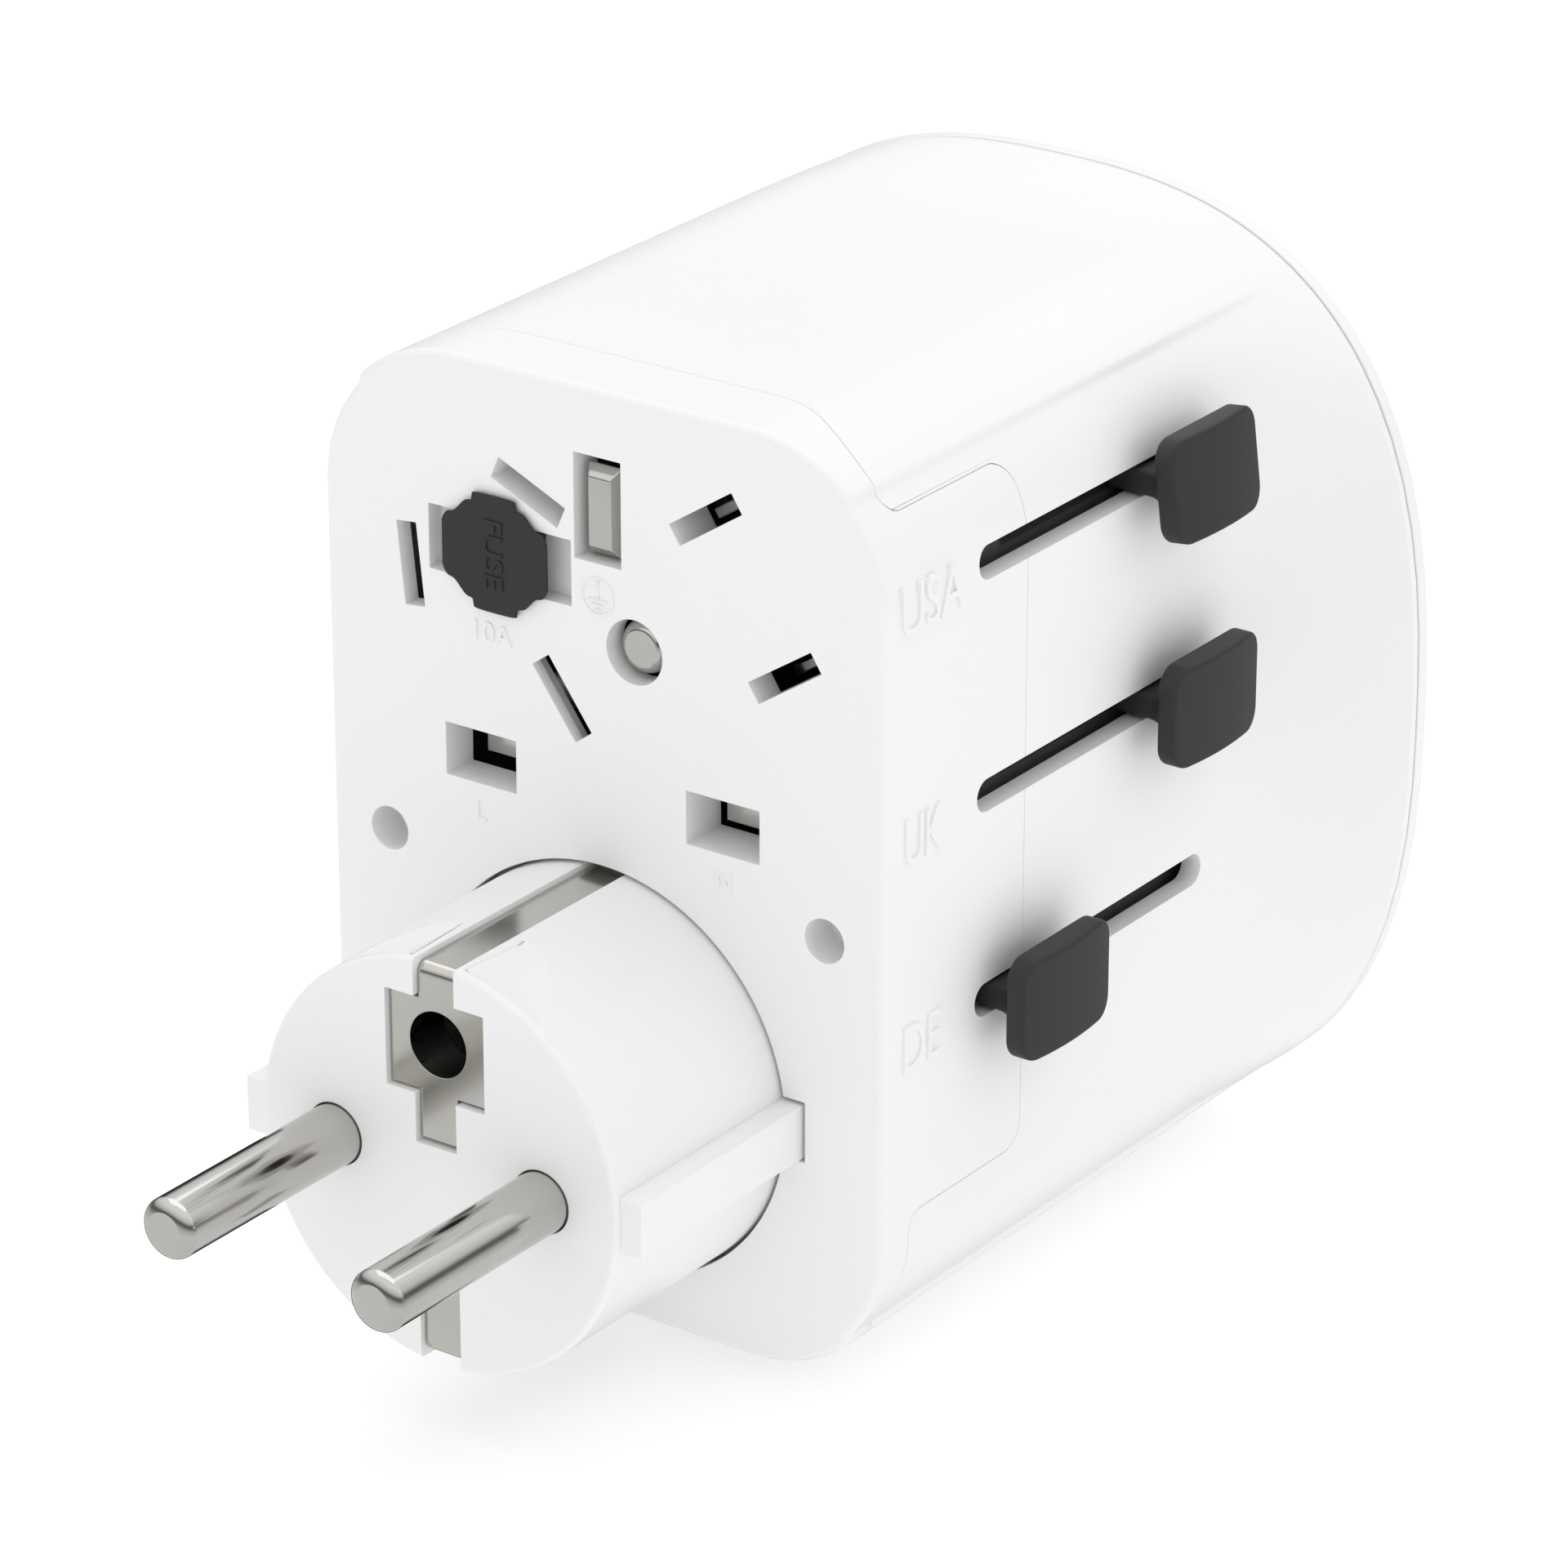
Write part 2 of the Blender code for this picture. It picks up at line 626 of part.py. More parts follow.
def make_uk_plug():
    """UK carrier: a bar for line and neutral, with a thin web up to the earth pin's seat."""
    half = 2.8 * MM
    body = carrier("uk_carrier", (-15.4 * MM, -half), (CARRIER_SIDE_X, half))
    join(body, carrier("web", (-0.62 * MM, 0.0), (0.50 * MM, 20.0 * MM)))
    join(body, carrier("seat", (-2.3 * MM, 17.5 * MM), (2.6 * MM, 27.3 * MM)))
    add_arm_bar(body, UK_Z - 0.3 * MM, KNOB_BACK)
    pins = []
    tip = 3.6 * MM
    for name, side in (("uk_line_pin", -1), ("uk_neutral_pin", 1)):
        place = (side * UK_HALF_PITCH, 0.0)
        pocket(body, pocket_outline(place, UK_PIN))
        pins.append(chamfered_pin(name, place, UK_PIN, 0.0, tip, PIN_END, 1.0 * MM))
    place = (0.0, UK_EARTH_Z)
    pocket(body, pocket_outline(place, UK_EARTH_PIN))
    pins.append(chamfered_pin("uk_earth_pin", place, UK_EARTH_PIN, 0.0, 0.4 * MM, PIN_END, 0.9 * MM))
    knob = make_knob("uk_knob", KNOB_BACK, UK_Z)
    return [body, knob] + pins


def make_usa_plug():
    body = carrier("usa_carrier", (0.85 * MM, 3.4 * MM), (CARRIER_SIDE_X, 26.9 * MM))
    # room for the UK earth pin's seat, and a bevel that clears the shell's corner
    cut(body, carrier_tool((-5 * MM, 17.2 * MM), (2.9 * MM, 30 * MM)))
    trim_corner(body, 1)
    add_arm_bar(body, USA_Z - 1.2 * MM, USA_KNOB_BACK)
    pins = []
    for name, centre in zip(("usa_neutral_blade", "usa_line_blade"), us_blade_places()):
        pocket(body, pocket_outline(centre, US_BLADE, US_TURN))
        pins.append(chamfered_pin(name, centre, US_BLADE, US_TURN, 4.5 * MM, PIN_END, 0.45 * MM))
    centre = us_ground_place()
    pocket(body, circle(centre, US_GROUND_RADIUS + 0.15 * MM, 24))
    pins.append(round_pin("usa_ground_pin", centre, US_GROUND_RADIUS, 0.8 * MM, PIN_END))
    knob = make_knob("usa_knob", USA_KNOB_BACK, USA_Z, tilt=math.radians(-7))
    return [body, knob] + pins


def make_aus_plug():
    """AUS carrier: a plate that slides along the fuse tube."""
    body = carrier("aus_carrier", (-CARRIER_SIDE_X, 3.4 * MM), (-0.95 * MM, 26.9 * MM))
    cut(body, carrier_tool((-2.6 * MM, 17.2 * MM), (5 * MM, 30 * MM)))
    trim_corner(body, -1)
    cut(body, rod("fuse_way", FUSE_CENTRE, 4.5 * MM, 20 * MM, 40 * MM, "charcoal_plastic", 32))
    add_arm_bar(body, AUS_Z, KNOB_BACK, -1)
    pins = []
    tips = (4.5 * MM, 4.5 * MM, 2.5 * MM)
    names = ("aus_line_blade", "aus_neutral_blade", "aus_earth_blade")
    for name, tip, (centre, turn) in zip(names, tips, aus_blade_places()):
        pocket(body, pocket_outline(centre, AUS_BLADE, turn))
        pins.append(chamfered_pin(name, centre, AUS_BLADE, turn, tip, PIN_END, 0.45 * MM))
    knob = make_knob("aus_knob", KNOB_BACK, AUS_Z, side=-1)
    return [body, knob] + pins


def carrier_tool(low, high):
    return box("room", (low[0], 20 * MM, low[1]), (high[0], 40 * MM, high[1]))


def trim_corner(target, side):
    """Cut a carrier's upper outer corner to clear the shell's rounded corner."""
    triangle = [
        (side * 25 * MM, 20.5 * MM),
        (side * 25 * MM, 32 * MM),
        (side * 12.6 * MM, 32 * MM),
    ]
    cut(target, prism("corner", triangle, 20 * MM, 40 * MM))


# ---------------------------------------------------------------- Schuko plug

def make_schuko_block():
    """Hollow round block with side ribs, open to the rear, on a flange that slides in the shell."""
    flange = (2.8 * MM, 5.2 * MM)
    block = rod("schuko_block", DE_CENTRE, DE_RADIUS, BLOCK_FRONT, 4.0 * MM, "white_plastic", 80)
    rib = box(
        "rib", (-18.2 * MM, BLOCK_FRONT, -24.8 * MM), (18.2 * MM, 4.0 * MM, -20.5 * MM)
    )
    join(block, rib)
    outline = rounded_rectangle((-18.9 * MM, -40.0 * MM), (18.9 * MM, -4.6 * MM), 8 * MM)
    join(block, prism("flange", outline, *flange))
    bar = box("bar", (16 * MM, flange[0], -16.8 * MM), (CARRIER_SIDE_X, 22.2 * MM, -13.2 * MM))
    join(block, bar)
    bore = DE_RADIUS - WALL
    front_wall = 2.4 * MM
    hollow = rod("hollow", DE_CENTRE, bore, BLOCK_FRONT + front_wall, 20 * MM, "white_plastic", 64)
    cut(block, hollow)
    for side in (-1, 1):
        x0, x1 = sorted((side * 2.4 * MM, side * 4.0 * MM))
        ear = box("ear", (x0, 4.6 * MM, -38.6 * MM), (x1, 9.8 * MM, -28.4 * MM))
        join(block, ear)
    axle_hole = prism(
        "axle_hole", circle((PINION_Y, PINION_Z), 0.95 * MM, 20), -6 * MM, 6 * MM, along="x"
    )
    cut(block, axle_hole)
    for place in de_pin_places():
        hole = rod("hole", place, DE_PIN_RADIUS + 0.2 * MM, -25 * MM, -15 * MM, "white_plastic", 32)
        cut(block, hole)
    cut_strip_ways(block)
    cut_finger_scallops(block)
    return block


STRIP_HALF = 1.7 * MM
STRIP_WAY_HALF = 1.85 * MM
STRIP_DEPTH = 1.3 * MM
CROSS_HALF_WIDTH = 4.5 * MM
CROSS_Z = (-17.05 * MM, -9.3 * MM)
TOP_STRIP_END = -21.0 * MM
EARTH_HOLE_Z = -12.9 * MM


def cut_strip_ways(block):
    """Grooves along the top and bottom, and their recesses down the front face."""
    top = DE_CENTRE[1] + DE_RADIUS
    bottom = DE_CENTRE[1] - DE_RADIUS
    depth = BLOCK_FRONT + 1.2 * MM
    before = BLOCK_FRONT - MM
    way = STRIP_WAY_HALF
    room = (
        ((-way, before, top - STRIP_DEPTH), (way, 2.6 * MM, top + MM)),
        ((-way, before, TOP_STRIP_END), (way, depth, top)),
        ((-CROSS_HALF_WIDTH, before, CROSS_Z[0]), (CROSS_HALF_WIDTH, depth, CROSS_Z[1])),
        ((-way, before, bottom - MM), (way, 2.6 * MM, bottom + STRIP_DEPTH)),
        ((-way, before, bottom), (way, depth, -31.0 * MM)),
    )
    for low, high in room:
        cut(block, box("way", low, high))
    hole = rod("hole", (0.0, EARTH_HOLE_Z), 2.8 * MM, -25 * MM, -15 * MM, "white_plastic", 32)
    cut(block, hole)


def cut_finger_scallops(block):
    """A shallow wedge on each side of the top strip, deepest at the front edge."""
    top = DE_CENTRE[1] + DE_RADIUS
    for side in (-1, 1):
        inner, outer = side * 3.0 * MM, side * 11.0 * MM
        back = BLOCK_FRONT + 6.0 * MM
        low_ring = [
            (inner, back, top - 1.1 * MM),
            (inner, BLOCK_FRONT - MM, top - 1.5 * MM),
            (outer, BLOCK_FRONT - MM, top - 5.2 * MM),
        ]
        high_ring = [(x, y, top + 2 * MM) for x, y, _ in low_ring]
        cut(block, loft("scallop", [low_ring, high_ring]))


def make_earth_strips():
    """Nickel strips in the grooves, folded down over the front face."""
    thin = 0.45 * MM
    lift = 0.3 * MM
    top = DE_CENTRE[1] + DE_RADIUS - STRIP_DEPTH + lift
    bottom = DE_CENTRE[1] - DE_RADIUS + STRIP_DEPTH - lift
    face = BLOCK_FRONT + 1.2 * MM - lift - thin
    half = STRIP_HALF
    upper = box("schuko_earth_strip_top", (-half, face, top), (half, 2.3 * MM, top + thin), "nickel")
    front = box("front", (-half, face, TOP_STRIP_END + lift), (half, face + thin, top + thin))
    join(upper, front)
    wide = CROSS_HALF_WIDTH - 0.2 * MM
    inset = 0.2 * MM
    cross = box(
        "cross", (-wide, face, CROSS_Z[0] + inset), (wide, face + thin, CROSS_Z[1] - inset)
    )
    join(upper, cross)
    cut(upper, rod("hole", (0.0, EARTH_HOLE_Z), 2.58 * MM, -25 * MM, -10 * MM, "nickel", 32))
    lower = box(
        "schuko_earth_strip_bottom", (-half, face, bottom - thin), (half, 2.3 * MM, bottom), "nickel"
    )
    join(lower, box("front", (-half, face, bottom - thin), (half, face + thin, -31.3 * MM)))
    return [upper, lower]


def rack_teeth(low_y, count, base_z, up):
    """Points of a row of trapezoid teeth along Y, as (y, z), from low_y on."""
    pitch = 2 * math.pi * PINION_PITCH_RADIUS / PINION_TEETH
    height = pitch * 0.58
    points = []
    for i in range(count):
        y = low_y + i * pitch
        points.append((y + pitch * 0.10, base_z))
        points.append((y + pitch * 0.31, base_z + up * height))
        points.append((y + pitch * 0.49, base_z + up * height))
        points.append((y + pitch * 0.70, base_z))
    return points


def make_pin_carriage():
    """Bar across the two pins, with a rack under it that runs back over the pinion."""
    carriage = box(
        "pin_carriage", (-12.6 * MM, -13 * MM, -25.6 * MM), (12.6 * MM, -9 * MM, -19.6 * MM),
        "charcoal_plastic",
    )
    pitch = 2 * math.pi * PINION_PITCH_RADIUS / PINION_TEETH
    root_z = PINION_Z + PINION_PITCH_RADIUS + pitch * 0.36
    count = 14
    # a tooth gap stands centred over the pinion's upright tooth
    gap_centre = PINION_Y - pitch * 0.9
    low_y = gap_centre - (count - 2) * pitch
    teeth = rack_teeth(low_y, count, root_z, -1)
    top_z = -25.2 * MM
    front, rear = -13 * MM, teeth[-1][0] + 0.4 * MM
    outline = [(front, top_z), (front, root_z)] + teeth + [(rear, root_z), (rear, top_z)]
    join(carriage, prism("rack", outline, -1.9 * MM, 1.9 * MM, "charcoal_plastic", along="x"))
    for place in de_pin_places():
        hole = rod("pocket", place, DE_PIN_RADIUS + 0.15 * MM, -20 * MM, -9.8 * MM, "nickel", 24)
        cut(carriage, hole)
    return carriage


def make_fixed_rack():
    """Rack that stands forward from the bulkhead under the pinion."""
    pitch = 2 * math.pi * PINION_PITCH_RADIUS / PINION_TEETH
    root_z = PINION_Z - PINION_PITCH_RADIUS - pitch * 0.36
    low_y = PINION_Y - pitch * 0.9
    teeth = rack_teeth(low_y, 13, root_z, 1)
    bottom_z = -36.4 * MM
    rear = BULKHEAD[0] - GAP
    outline = [(5.5 * MM, bottom_z), (5.5 * MM, root_z)] + teeth + [(rear, root_z), (rear, bottom_z)]
    return prism("fixed_rack", outline, -1.9 * MM, 1.9 * MM, "black_plastic", along="x")


def make_pinion():
    """Twelve-tooth pinion with its bore along X."""
    pitch = 2 * math.pi / PINION_TEETH
    root = PINION_PITCH_RADIUS - 0.62 * MM
    tip = PINION_PITCH_RADIUS + 0.50 * MM
    outline = []
    for i in range(PINION_TEETH):
        centre = pitch * i + math.pi / 2
        for part, radius in ((-0.34, root), (-0.15, tip), (0.15, tip), (0.34, root)):
            turn = centre + pitch * part
            outline.append((PINION_Y + radius * math.cos(turn), PINION_Z + radius * math.sin(turn)))
    half = 1.7 * MM
    pinion = prism("pinion", outline, -half, half, "black_plastic", along="x")
    bore = prism("bore", circle((PINION_Y, PINION_Z), 0.9 * MM, 20), -5 * MM, 5 * MM, along="x")
    cut(pinion, bore)
    axle = prism(
        "pinion_axle", circle((PINION_Y, PINION_Z), 0.75 * MM, 20), -4.3 * MM, 4.3 * MM, "steel", "x"
    )
    return pinion, axle


# ---------------------------------------------------------------- fuse

def make_fuse():
    """Cap with four lugs, its plug, and the cartridge that it draws out."""
    quarter = (
        (4.85, 1.2), (4.8, 1.9), (4.4, 2.5), (3.7, 2.75), (2.75, 3.7), (2.1, 3.9), (2.0, 4.3),
        (1.6, 4.6),
    )
    outline = [(x, z) for x, z in quarter]
    outline += [(-x, z) for x, z in reversed(quarter)]
    outline += [(-x, -z) for x, z in quarter]
    outline += [(x, -z) for x, z in reversed(quarter)]
    outline = [(FUSE_CENTRE[0] + x * MM, FUSE_CENTRE[1] + z * MM) for x, z in outline]
    front, back = -0.5 * MM, 0.0
    cap = prism("fuse_cap", outline, front, back - 0.3 * MM, "charcoal_plastic")
    neck = 2.15 * MM
    low = (FUSE_CENTRE[0] - 4.7 * MM, back - 0.35 * MM, FUSE_CENTRE[1] - neck)
    high = (FUSE_CENTRE[0] + 4.7 * MM, FUSE_RECESS - GAP, FUSE_CENTRE[1] + neck)
    join(cap, box("neck", low, high))
    join(cap, rod("plug", FUSE_CENTRE, FUSE_RADIUS, 1 * MM, 3.6 * MM, "charcoal_plastic", 24))
    start = 3.9 * MM
    end = start + FUSE_LENGTH
    ferrule = 5.0 * MM
    tube = rod("fuse_cartridge", FUSE_CENTRE, FUSE_RADIUS - 0.25 * MM, start + ferrule + 0.1 * MM,
               end - ferrule - 0.1 * MM, "ceramic", 24)
    front_end = rod("fuse_end_front", FUSE_CENTRE, FUSE_RADIUS, start, start + ferrule, "nickel", 24)
    rear_end = rod("fuse_end_rear", FUSE_CENTRE, FUSE_RADIUS, end - ferrule, end, "nickel", 24)
    return [cap, tube, front_end, rear_end]


def make_fuse_holder():
    start = 4.5 * MM
    end = 27.0 * MM
    tube = rod("fuse_tube", FUSE_CENTRE, 4.0 * MM, start, end, "black_plastic", 32)
    cut(tube, rod("bore", FUSE_CENTRE, FUSE_RADIUS + 0.3 * MM, 0, end - 1.5 * MM, "black_plastic", 32))
    cut(tube, rod("way", FUSE_CENTRE, 1.3 * MM, 0, 30 * MM, "black_plastic", 16))
    seat = 24.3 * MM
    terminal = rod("fuse_terminal", FUSE_CENTRE, 1.0 * MM, seat, 46.0 * MM, "brass", 16)
    join(terminal, rod("disc", FUSE_CENTRE, 2.4 * MM, seat, seat + 0.8 * MM, "brass", 24))
    return [tube, terminal]


# ---------------------------------------------------------------- conductors and rear socket

def make_busbars():
    thick = 0.8 * MM
    foot_y = (BULKHEAD[1] + GAP, BULKHEAD[1] + GAP + thick)
    pieces = []
    for name, side in (("line_busbar", -1), ("neutral_busbar", 1)):
        x0, x1 = sorted((side * 19.45 * MM, side * 20.25 * MM))
        bar = box(name, (x0, 10 * MM, -34 * MM), (x1, foot_y[1], -24 * MM), "brass")
        f0, f1 = sorted((side * 15.4 * MM, side * 20.25 * MM))
        join(bar, box("foot", (f0, foot_y[0], -34 * MM), (f1, foot_y[1], SOCKET_Z + 2 * MM)))
        pieces.append(bar)
    top = 28.0 * MM
    bar = box("earth_busbar", (-5 * MM, 10 * MM, top), (5 * MM, foot_y[1], top + thick), "brass")
    foot_low = SOCKET_Z + UK_EARTH_Z + 5.0 * MM
    join(bar, box("foot", (-5 * MM, foot_y[0], foot_low), (5 * MM, foot_y[1], top + thick)))
    return pieces + [bar]


def spring_clip(name, low, high):
    """Folded brass clip, open to the rear: a base and two leaves above and below the pin."""
    thick = 0.6 * MM
    clip = box(name, low, high, "brass")
    room_low = (low[0] - MM, low[1] + thick, low[2] + thick)
    room_high = (high[0] + MM, high[1] + MM, high[2] - thick)
    cut(clip, box("room", room_low, room_high))
    return clip


def make_contacts():
    start = BULKHEAD[1] + GAP
    end = 52.8 * MM
    half = 3.0 * MM
    clips = []
    for name, side in (("line_contact", -1), ("neutral_contact", 1)):
        x0, x1 = sorted((side * 5.2 * MM, side * 15.1 * MM))
        clips.append(spring_clip(name, (x0, start, SOCKET_Z - half), (x1, end, SOCKET_Z + half)))
    centre = SOCKET_Z + UK_EARTH_Z
    low = (-2.9 * MM, start, centre - 4.7 * MM)
    high = (2.9 * MM, end, centre + 4.7 * MM)
    clips.append(spring_clip("earth_contact", low, high))
    return clips


def make_shutter():
    """Blade with two windows above the openings that it blocks, lowered by a bar at the earth opening."""
    blade_y = (53.4 * MM, 55.6 * MM)
    half_window = 3.7 * MM
    low_z, high_z = SOCKET_Z - half_window - 0.1 * MM, SOCKET_Z + SHUTTER_TRAVEL + half_window + MM
    shutter = box(
        "shutter", (-15.8 * MM, blade_y[0], low_z), (15.8 * MM, blade_y[1], high_z), "black_plastic"
    )
    window_z = SOCKET_Z + SHUTTER_TRAVEL
    for side in (-1, 1):
        x0, x1 = sorted((side * 5.0 * MM, side * 15.0 * MM))
        low = (x0, 50 * MM, window_z - half_window)
        cut(shutter, box("window", low, (x1, 60 * MM, window_z + half_window)))
        x0, x1 = sorted((side * 2.9 * MM, side * 4.3 * MM))
        low = (x0, blade_y[0], high_z - MM)
        join(shutter, box("leg", low, (x1, blade_y[1], 13.4 * MM)))
    ramp = [(blade_y[0], 10.7 * MM), (blade_y[1], 10.7 * MM), (blade_y[1], 11.2 * MM),
            (blade_y[0], 13.4 * MM)]
    join(shutter, prism("bar", ramp, -3.5 * MM, 3.5 * MM, "black_plastic", along="x"))
    seat_y = (blade_y[0] + blade_y[1]) / 2
    spring = helix_spring("shutter_spring", seat_y, -31.5 * MM, low_z - GAP)
    return shutter, spring


def helix_spring(name, centre_y, low_z, high_z):
    """Compression spring on the Z axis: one round wire swept along a helix."""
    wire, coil, turns, sides, steps = 0.22 * MM, 0.85 * MM, 6, 5, 10
    low_z += wire
    high_z -= wire
    rings = []
    total = turns * steps
    rise = (high_z - low_z) / (turns * 2 * math.pi)
    for i in range(total + 1):
        turn = 2 * math.pi * i / steps
        out = Vector((math.cos(turn), math.sin(turn), 0.0))
        ahead = Vector((-coil * math.sin(turn), coil * math.cos(turn), rise)).normalized()
        third = ahead.cross(out)
        centre = out * coil + Vector((0.0, centre_y, low_z + rise * turn))
        ring = []
        for k in range(sides):
            roll = 2 * math.pi * k / sides
            ring.append(centre + wire * (math.cos(roll) * out + math.sin(roll) * third))
        rings.append(ring)
    return loft(name, rings, "steel")


# ---------------------------------------------------------------- assembly

def main():
    clear_scene()
    shell = full_shell()
    cover = shell.copy()
    cover.data = shell.data.copy()
    bpy.context.collection.objects.link(cover)
    cover = make_front_cover(cover)
    shell = make_main_shell(shell)
    housing = [cover, shell, make_rear_plate(), make_socket_face(), make_guide_frame()]
    housing += [make_frame_screw(i + 1, place) for i, place in enumerate(screw_places())]
    housing += [make_fixed_rack()] + make_fuse_holder() + make_busbars() + make_contacts()
    uk = make_uk_plug()
    usa = make_usa_plug()
    aus = make_aus_plug()
    pinion, axle = make_pinion()
    block = [make_schuko_block(), make_knob("de_knob", DE_KNOB_OUT, DE_Z), axle]
    block += make_earth_strips()
    pins = [make_pin_carriage()]
    tip = BLOCK_FRONT - DE_PIN_OUT
    for name, place in zip(("schuko_pin_left", "schuko_pin_right"), de_pin_places()):
        pins.append(round_pin(name, place, DE_PIN_RADIUS, tip, -9.9 * MM))
    fuse = make_fuse()
    shutter, spring = make_shutter()
    housing.append(spring)
    body_axis("uk_axis", (0.0, 0.0, 0.0), uk)
    body_axis("usa_axis", (US_CENTRE[0], 0.0, US_CENTRE[1]), usa)
    body_axis("aus_axis", (AUS_CENTRE[0], 0.0, AUS_CENTRE[1]), aus)
    body_axis("schuko_axis", (0.0, 0.0, DE_CENTRE[1]), block)
    body_axis("schuko_pin_axis", (0.0, 0.0, DE_CENTRE[1]), pins)
    body_axis("pinion_axis", (0.0, PINION_Y, PINION_Z), [pinion])
    body_axis("fuse_axis", (FUSE_CENTRE[0], 0.0, FUSE_CENTRE[1]), fuse)
    body_axis("shutter_axis", (0.0, 54.5 * MM, SOCKET_Z), [shutter])
    for obj in housing + uk + usa + aus + block + pins + [pinion] + fuse + [shutter]:
        smooth(obj)


main()
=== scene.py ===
"""Looks of the universal travel adapter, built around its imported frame.

Metres, in the frame's own axes: X across the plug face, Y into the body, Z up. Every new piece is
a surface worked out as whole numpy arrays, then carved with cutters made the same way.
"""
import json
import math

import bmesh
import bpy
import numpy as np
from mathutils import Matrix, Vector


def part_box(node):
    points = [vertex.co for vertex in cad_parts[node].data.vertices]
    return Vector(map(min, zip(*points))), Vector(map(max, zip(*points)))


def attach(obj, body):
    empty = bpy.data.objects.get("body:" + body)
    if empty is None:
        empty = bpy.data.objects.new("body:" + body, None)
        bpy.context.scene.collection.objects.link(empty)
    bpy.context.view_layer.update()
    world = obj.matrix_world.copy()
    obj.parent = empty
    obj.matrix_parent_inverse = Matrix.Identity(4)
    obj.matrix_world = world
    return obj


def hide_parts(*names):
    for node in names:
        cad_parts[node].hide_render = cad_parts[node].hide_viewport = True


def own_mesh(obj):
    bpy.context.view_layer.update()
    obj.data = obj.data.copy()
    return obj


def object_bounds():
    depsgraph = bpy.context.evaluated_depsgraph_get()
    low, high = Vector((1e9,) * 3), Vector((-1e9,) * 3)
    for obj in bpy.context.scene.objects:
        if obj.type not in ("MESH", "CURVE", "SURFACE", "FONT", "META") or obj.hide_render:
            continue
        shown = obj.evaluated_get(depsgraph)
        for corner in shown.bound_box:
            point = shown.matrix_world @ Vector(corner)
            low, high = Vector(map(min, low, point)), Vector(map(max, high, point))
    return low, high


MM = 0.001
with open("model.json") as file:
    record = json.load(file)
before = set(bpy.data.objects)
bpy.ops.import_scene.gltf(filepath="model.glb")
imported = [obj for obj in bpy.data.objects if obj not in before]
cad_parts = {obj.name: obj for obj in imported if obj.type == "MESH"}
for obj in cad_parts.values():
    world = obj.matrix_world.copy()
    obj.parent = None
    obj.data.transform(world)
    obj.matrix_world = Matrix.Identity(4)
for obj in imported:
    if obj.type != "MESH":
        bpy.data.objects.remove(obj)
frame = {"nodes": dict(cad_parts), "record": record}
cad_low, cad_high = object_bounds()

# ---------------------------------------------------------------- sizes read from the frame

cover_low, cover_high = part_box("front_cover")
shell_low, shell_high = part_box("main_shell")
plate_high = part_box("rear_plate")[1]
FACE_Y = cover_low.y
HALF_WIDTH = cover_high.x
HALF_HEIGHT = (cover_high.z - cover_low.z) / 2
CENTRE_Z = (cover_high.z + cover_low.z) / 2
TONGUE_DEPTH = cover_high.y
RIM_Y = shell_high.y
RIM_HALF_WIDTH = shell_high.x
RIM_HALF_HEIGHT = (shell_high.z - shell_low.z) / 2

CORNER = 12.5 * MM
WALL = 2.2 * MM
FACE_ROUND = 0.7 * MM
FLARE_START = 46.0 * MM
FLARE_TURN = math.radians(72)
RIM_POWER = 2.6
RIM_LIP = 0.8 * MM       # straight band between the flare and the rear plate
FLARE_END = RIM_Y - RIM_LIP
COVER_DEPTH = 6.8 * MM   # parting line on the top and bottom
SIDE_SEAM = 3.4 * MM     # parting line on the sides, above and below the tongues
SEAM_BEND = (11.0 * MM, 22.5 * MM)
TONGUE_TOP = 26.0 * MM
TONGUE_BOTTOM = -28.7 * MM
TONGUE_INNER = 13.5 * MM
TONGUE_CORNER = 2.2 * MM
TONGUE_FILLET = 1.5 * MM
PARTING = 0.025 * MM     # half the width of the parting line
PANEL_STEP = 0.45 * MM   # the side panels lie this much lower than the top and bottom
CREASE = math.radians(45)
CREASE_SPREAD = math.radians(1.8)
FAR = 60 * MM
SHELL_EDGE = 0.05 * MM

SLOT_FRONT = 11.8 * MM
SLOT_REAR = 42.9 * MM
SLOT_HALF = 1.3 * MM

DE_CENTRE = np.array((0.0, -22.6 * MM))
DE_RADIUS = 16.4 * MM
US_TURN = math.radians(33.25)
AUS_TURN = math.radians(126.2)
AUS_SLANT = math.radians(30)
BLADE_WIDTH = 6.35 * MM
US_THICK, AUS_THICK = 1.5 * MM, 1.6 * MM


def middle(node):
    low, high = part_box(node)
    return (low + high) / 2


def face_place(node):
    """Where a node stands on the plug face: x, z of its middle."""
    at = middle(node)
    return at.x, at.z


# ---------------------------------------------------------------- surfaces

def in_scene(name, data):
    obj = bpy.data.objects.new(name, data)
    bpy.context.collection.objects.link(obj)
    return obj


def closed_mesh(name, points, faces):
    """A mesh object from point and face arrays, turned so that its volume is positive."""
    mesh = bpy.data.meshes.new(name)
    mesh.from_pydata(points.tolist(), [], faces)
    obj = in_scene(name, mesh)
    shape = bmesh.new()
    shape.from_mesh(mesh)
    if shape.calc_volume(signed=True) < 0:
        bmesh.ops.reverse_faces(shape, faces=shape.faces)
    shape.to_mesh(mesh)
    shape.free()
    return obj


def skin(name, grid):
    """Closed surface through a (rings, points, 3) grid: quads between rings, a cap at each end."""
    rings, count, _ = grid.shape
    start = np.arange(rings - 1)[:, None] * count
    a = np.arange(count)[None, :]
    b = (a + 1) % count
    quads = np.stack((start + a, start + b, start + count + b, start + count + a), axis=-1)
    faces = quads.reshape(-1, 4).tolist()
    faces.append(np.arange(count)[::-1].tolist())
    faces.append((np.arange(count) + (rings - 1) * count).tolist())
    return closed_mesh(name, grid.reshape(-1, 3), faces)


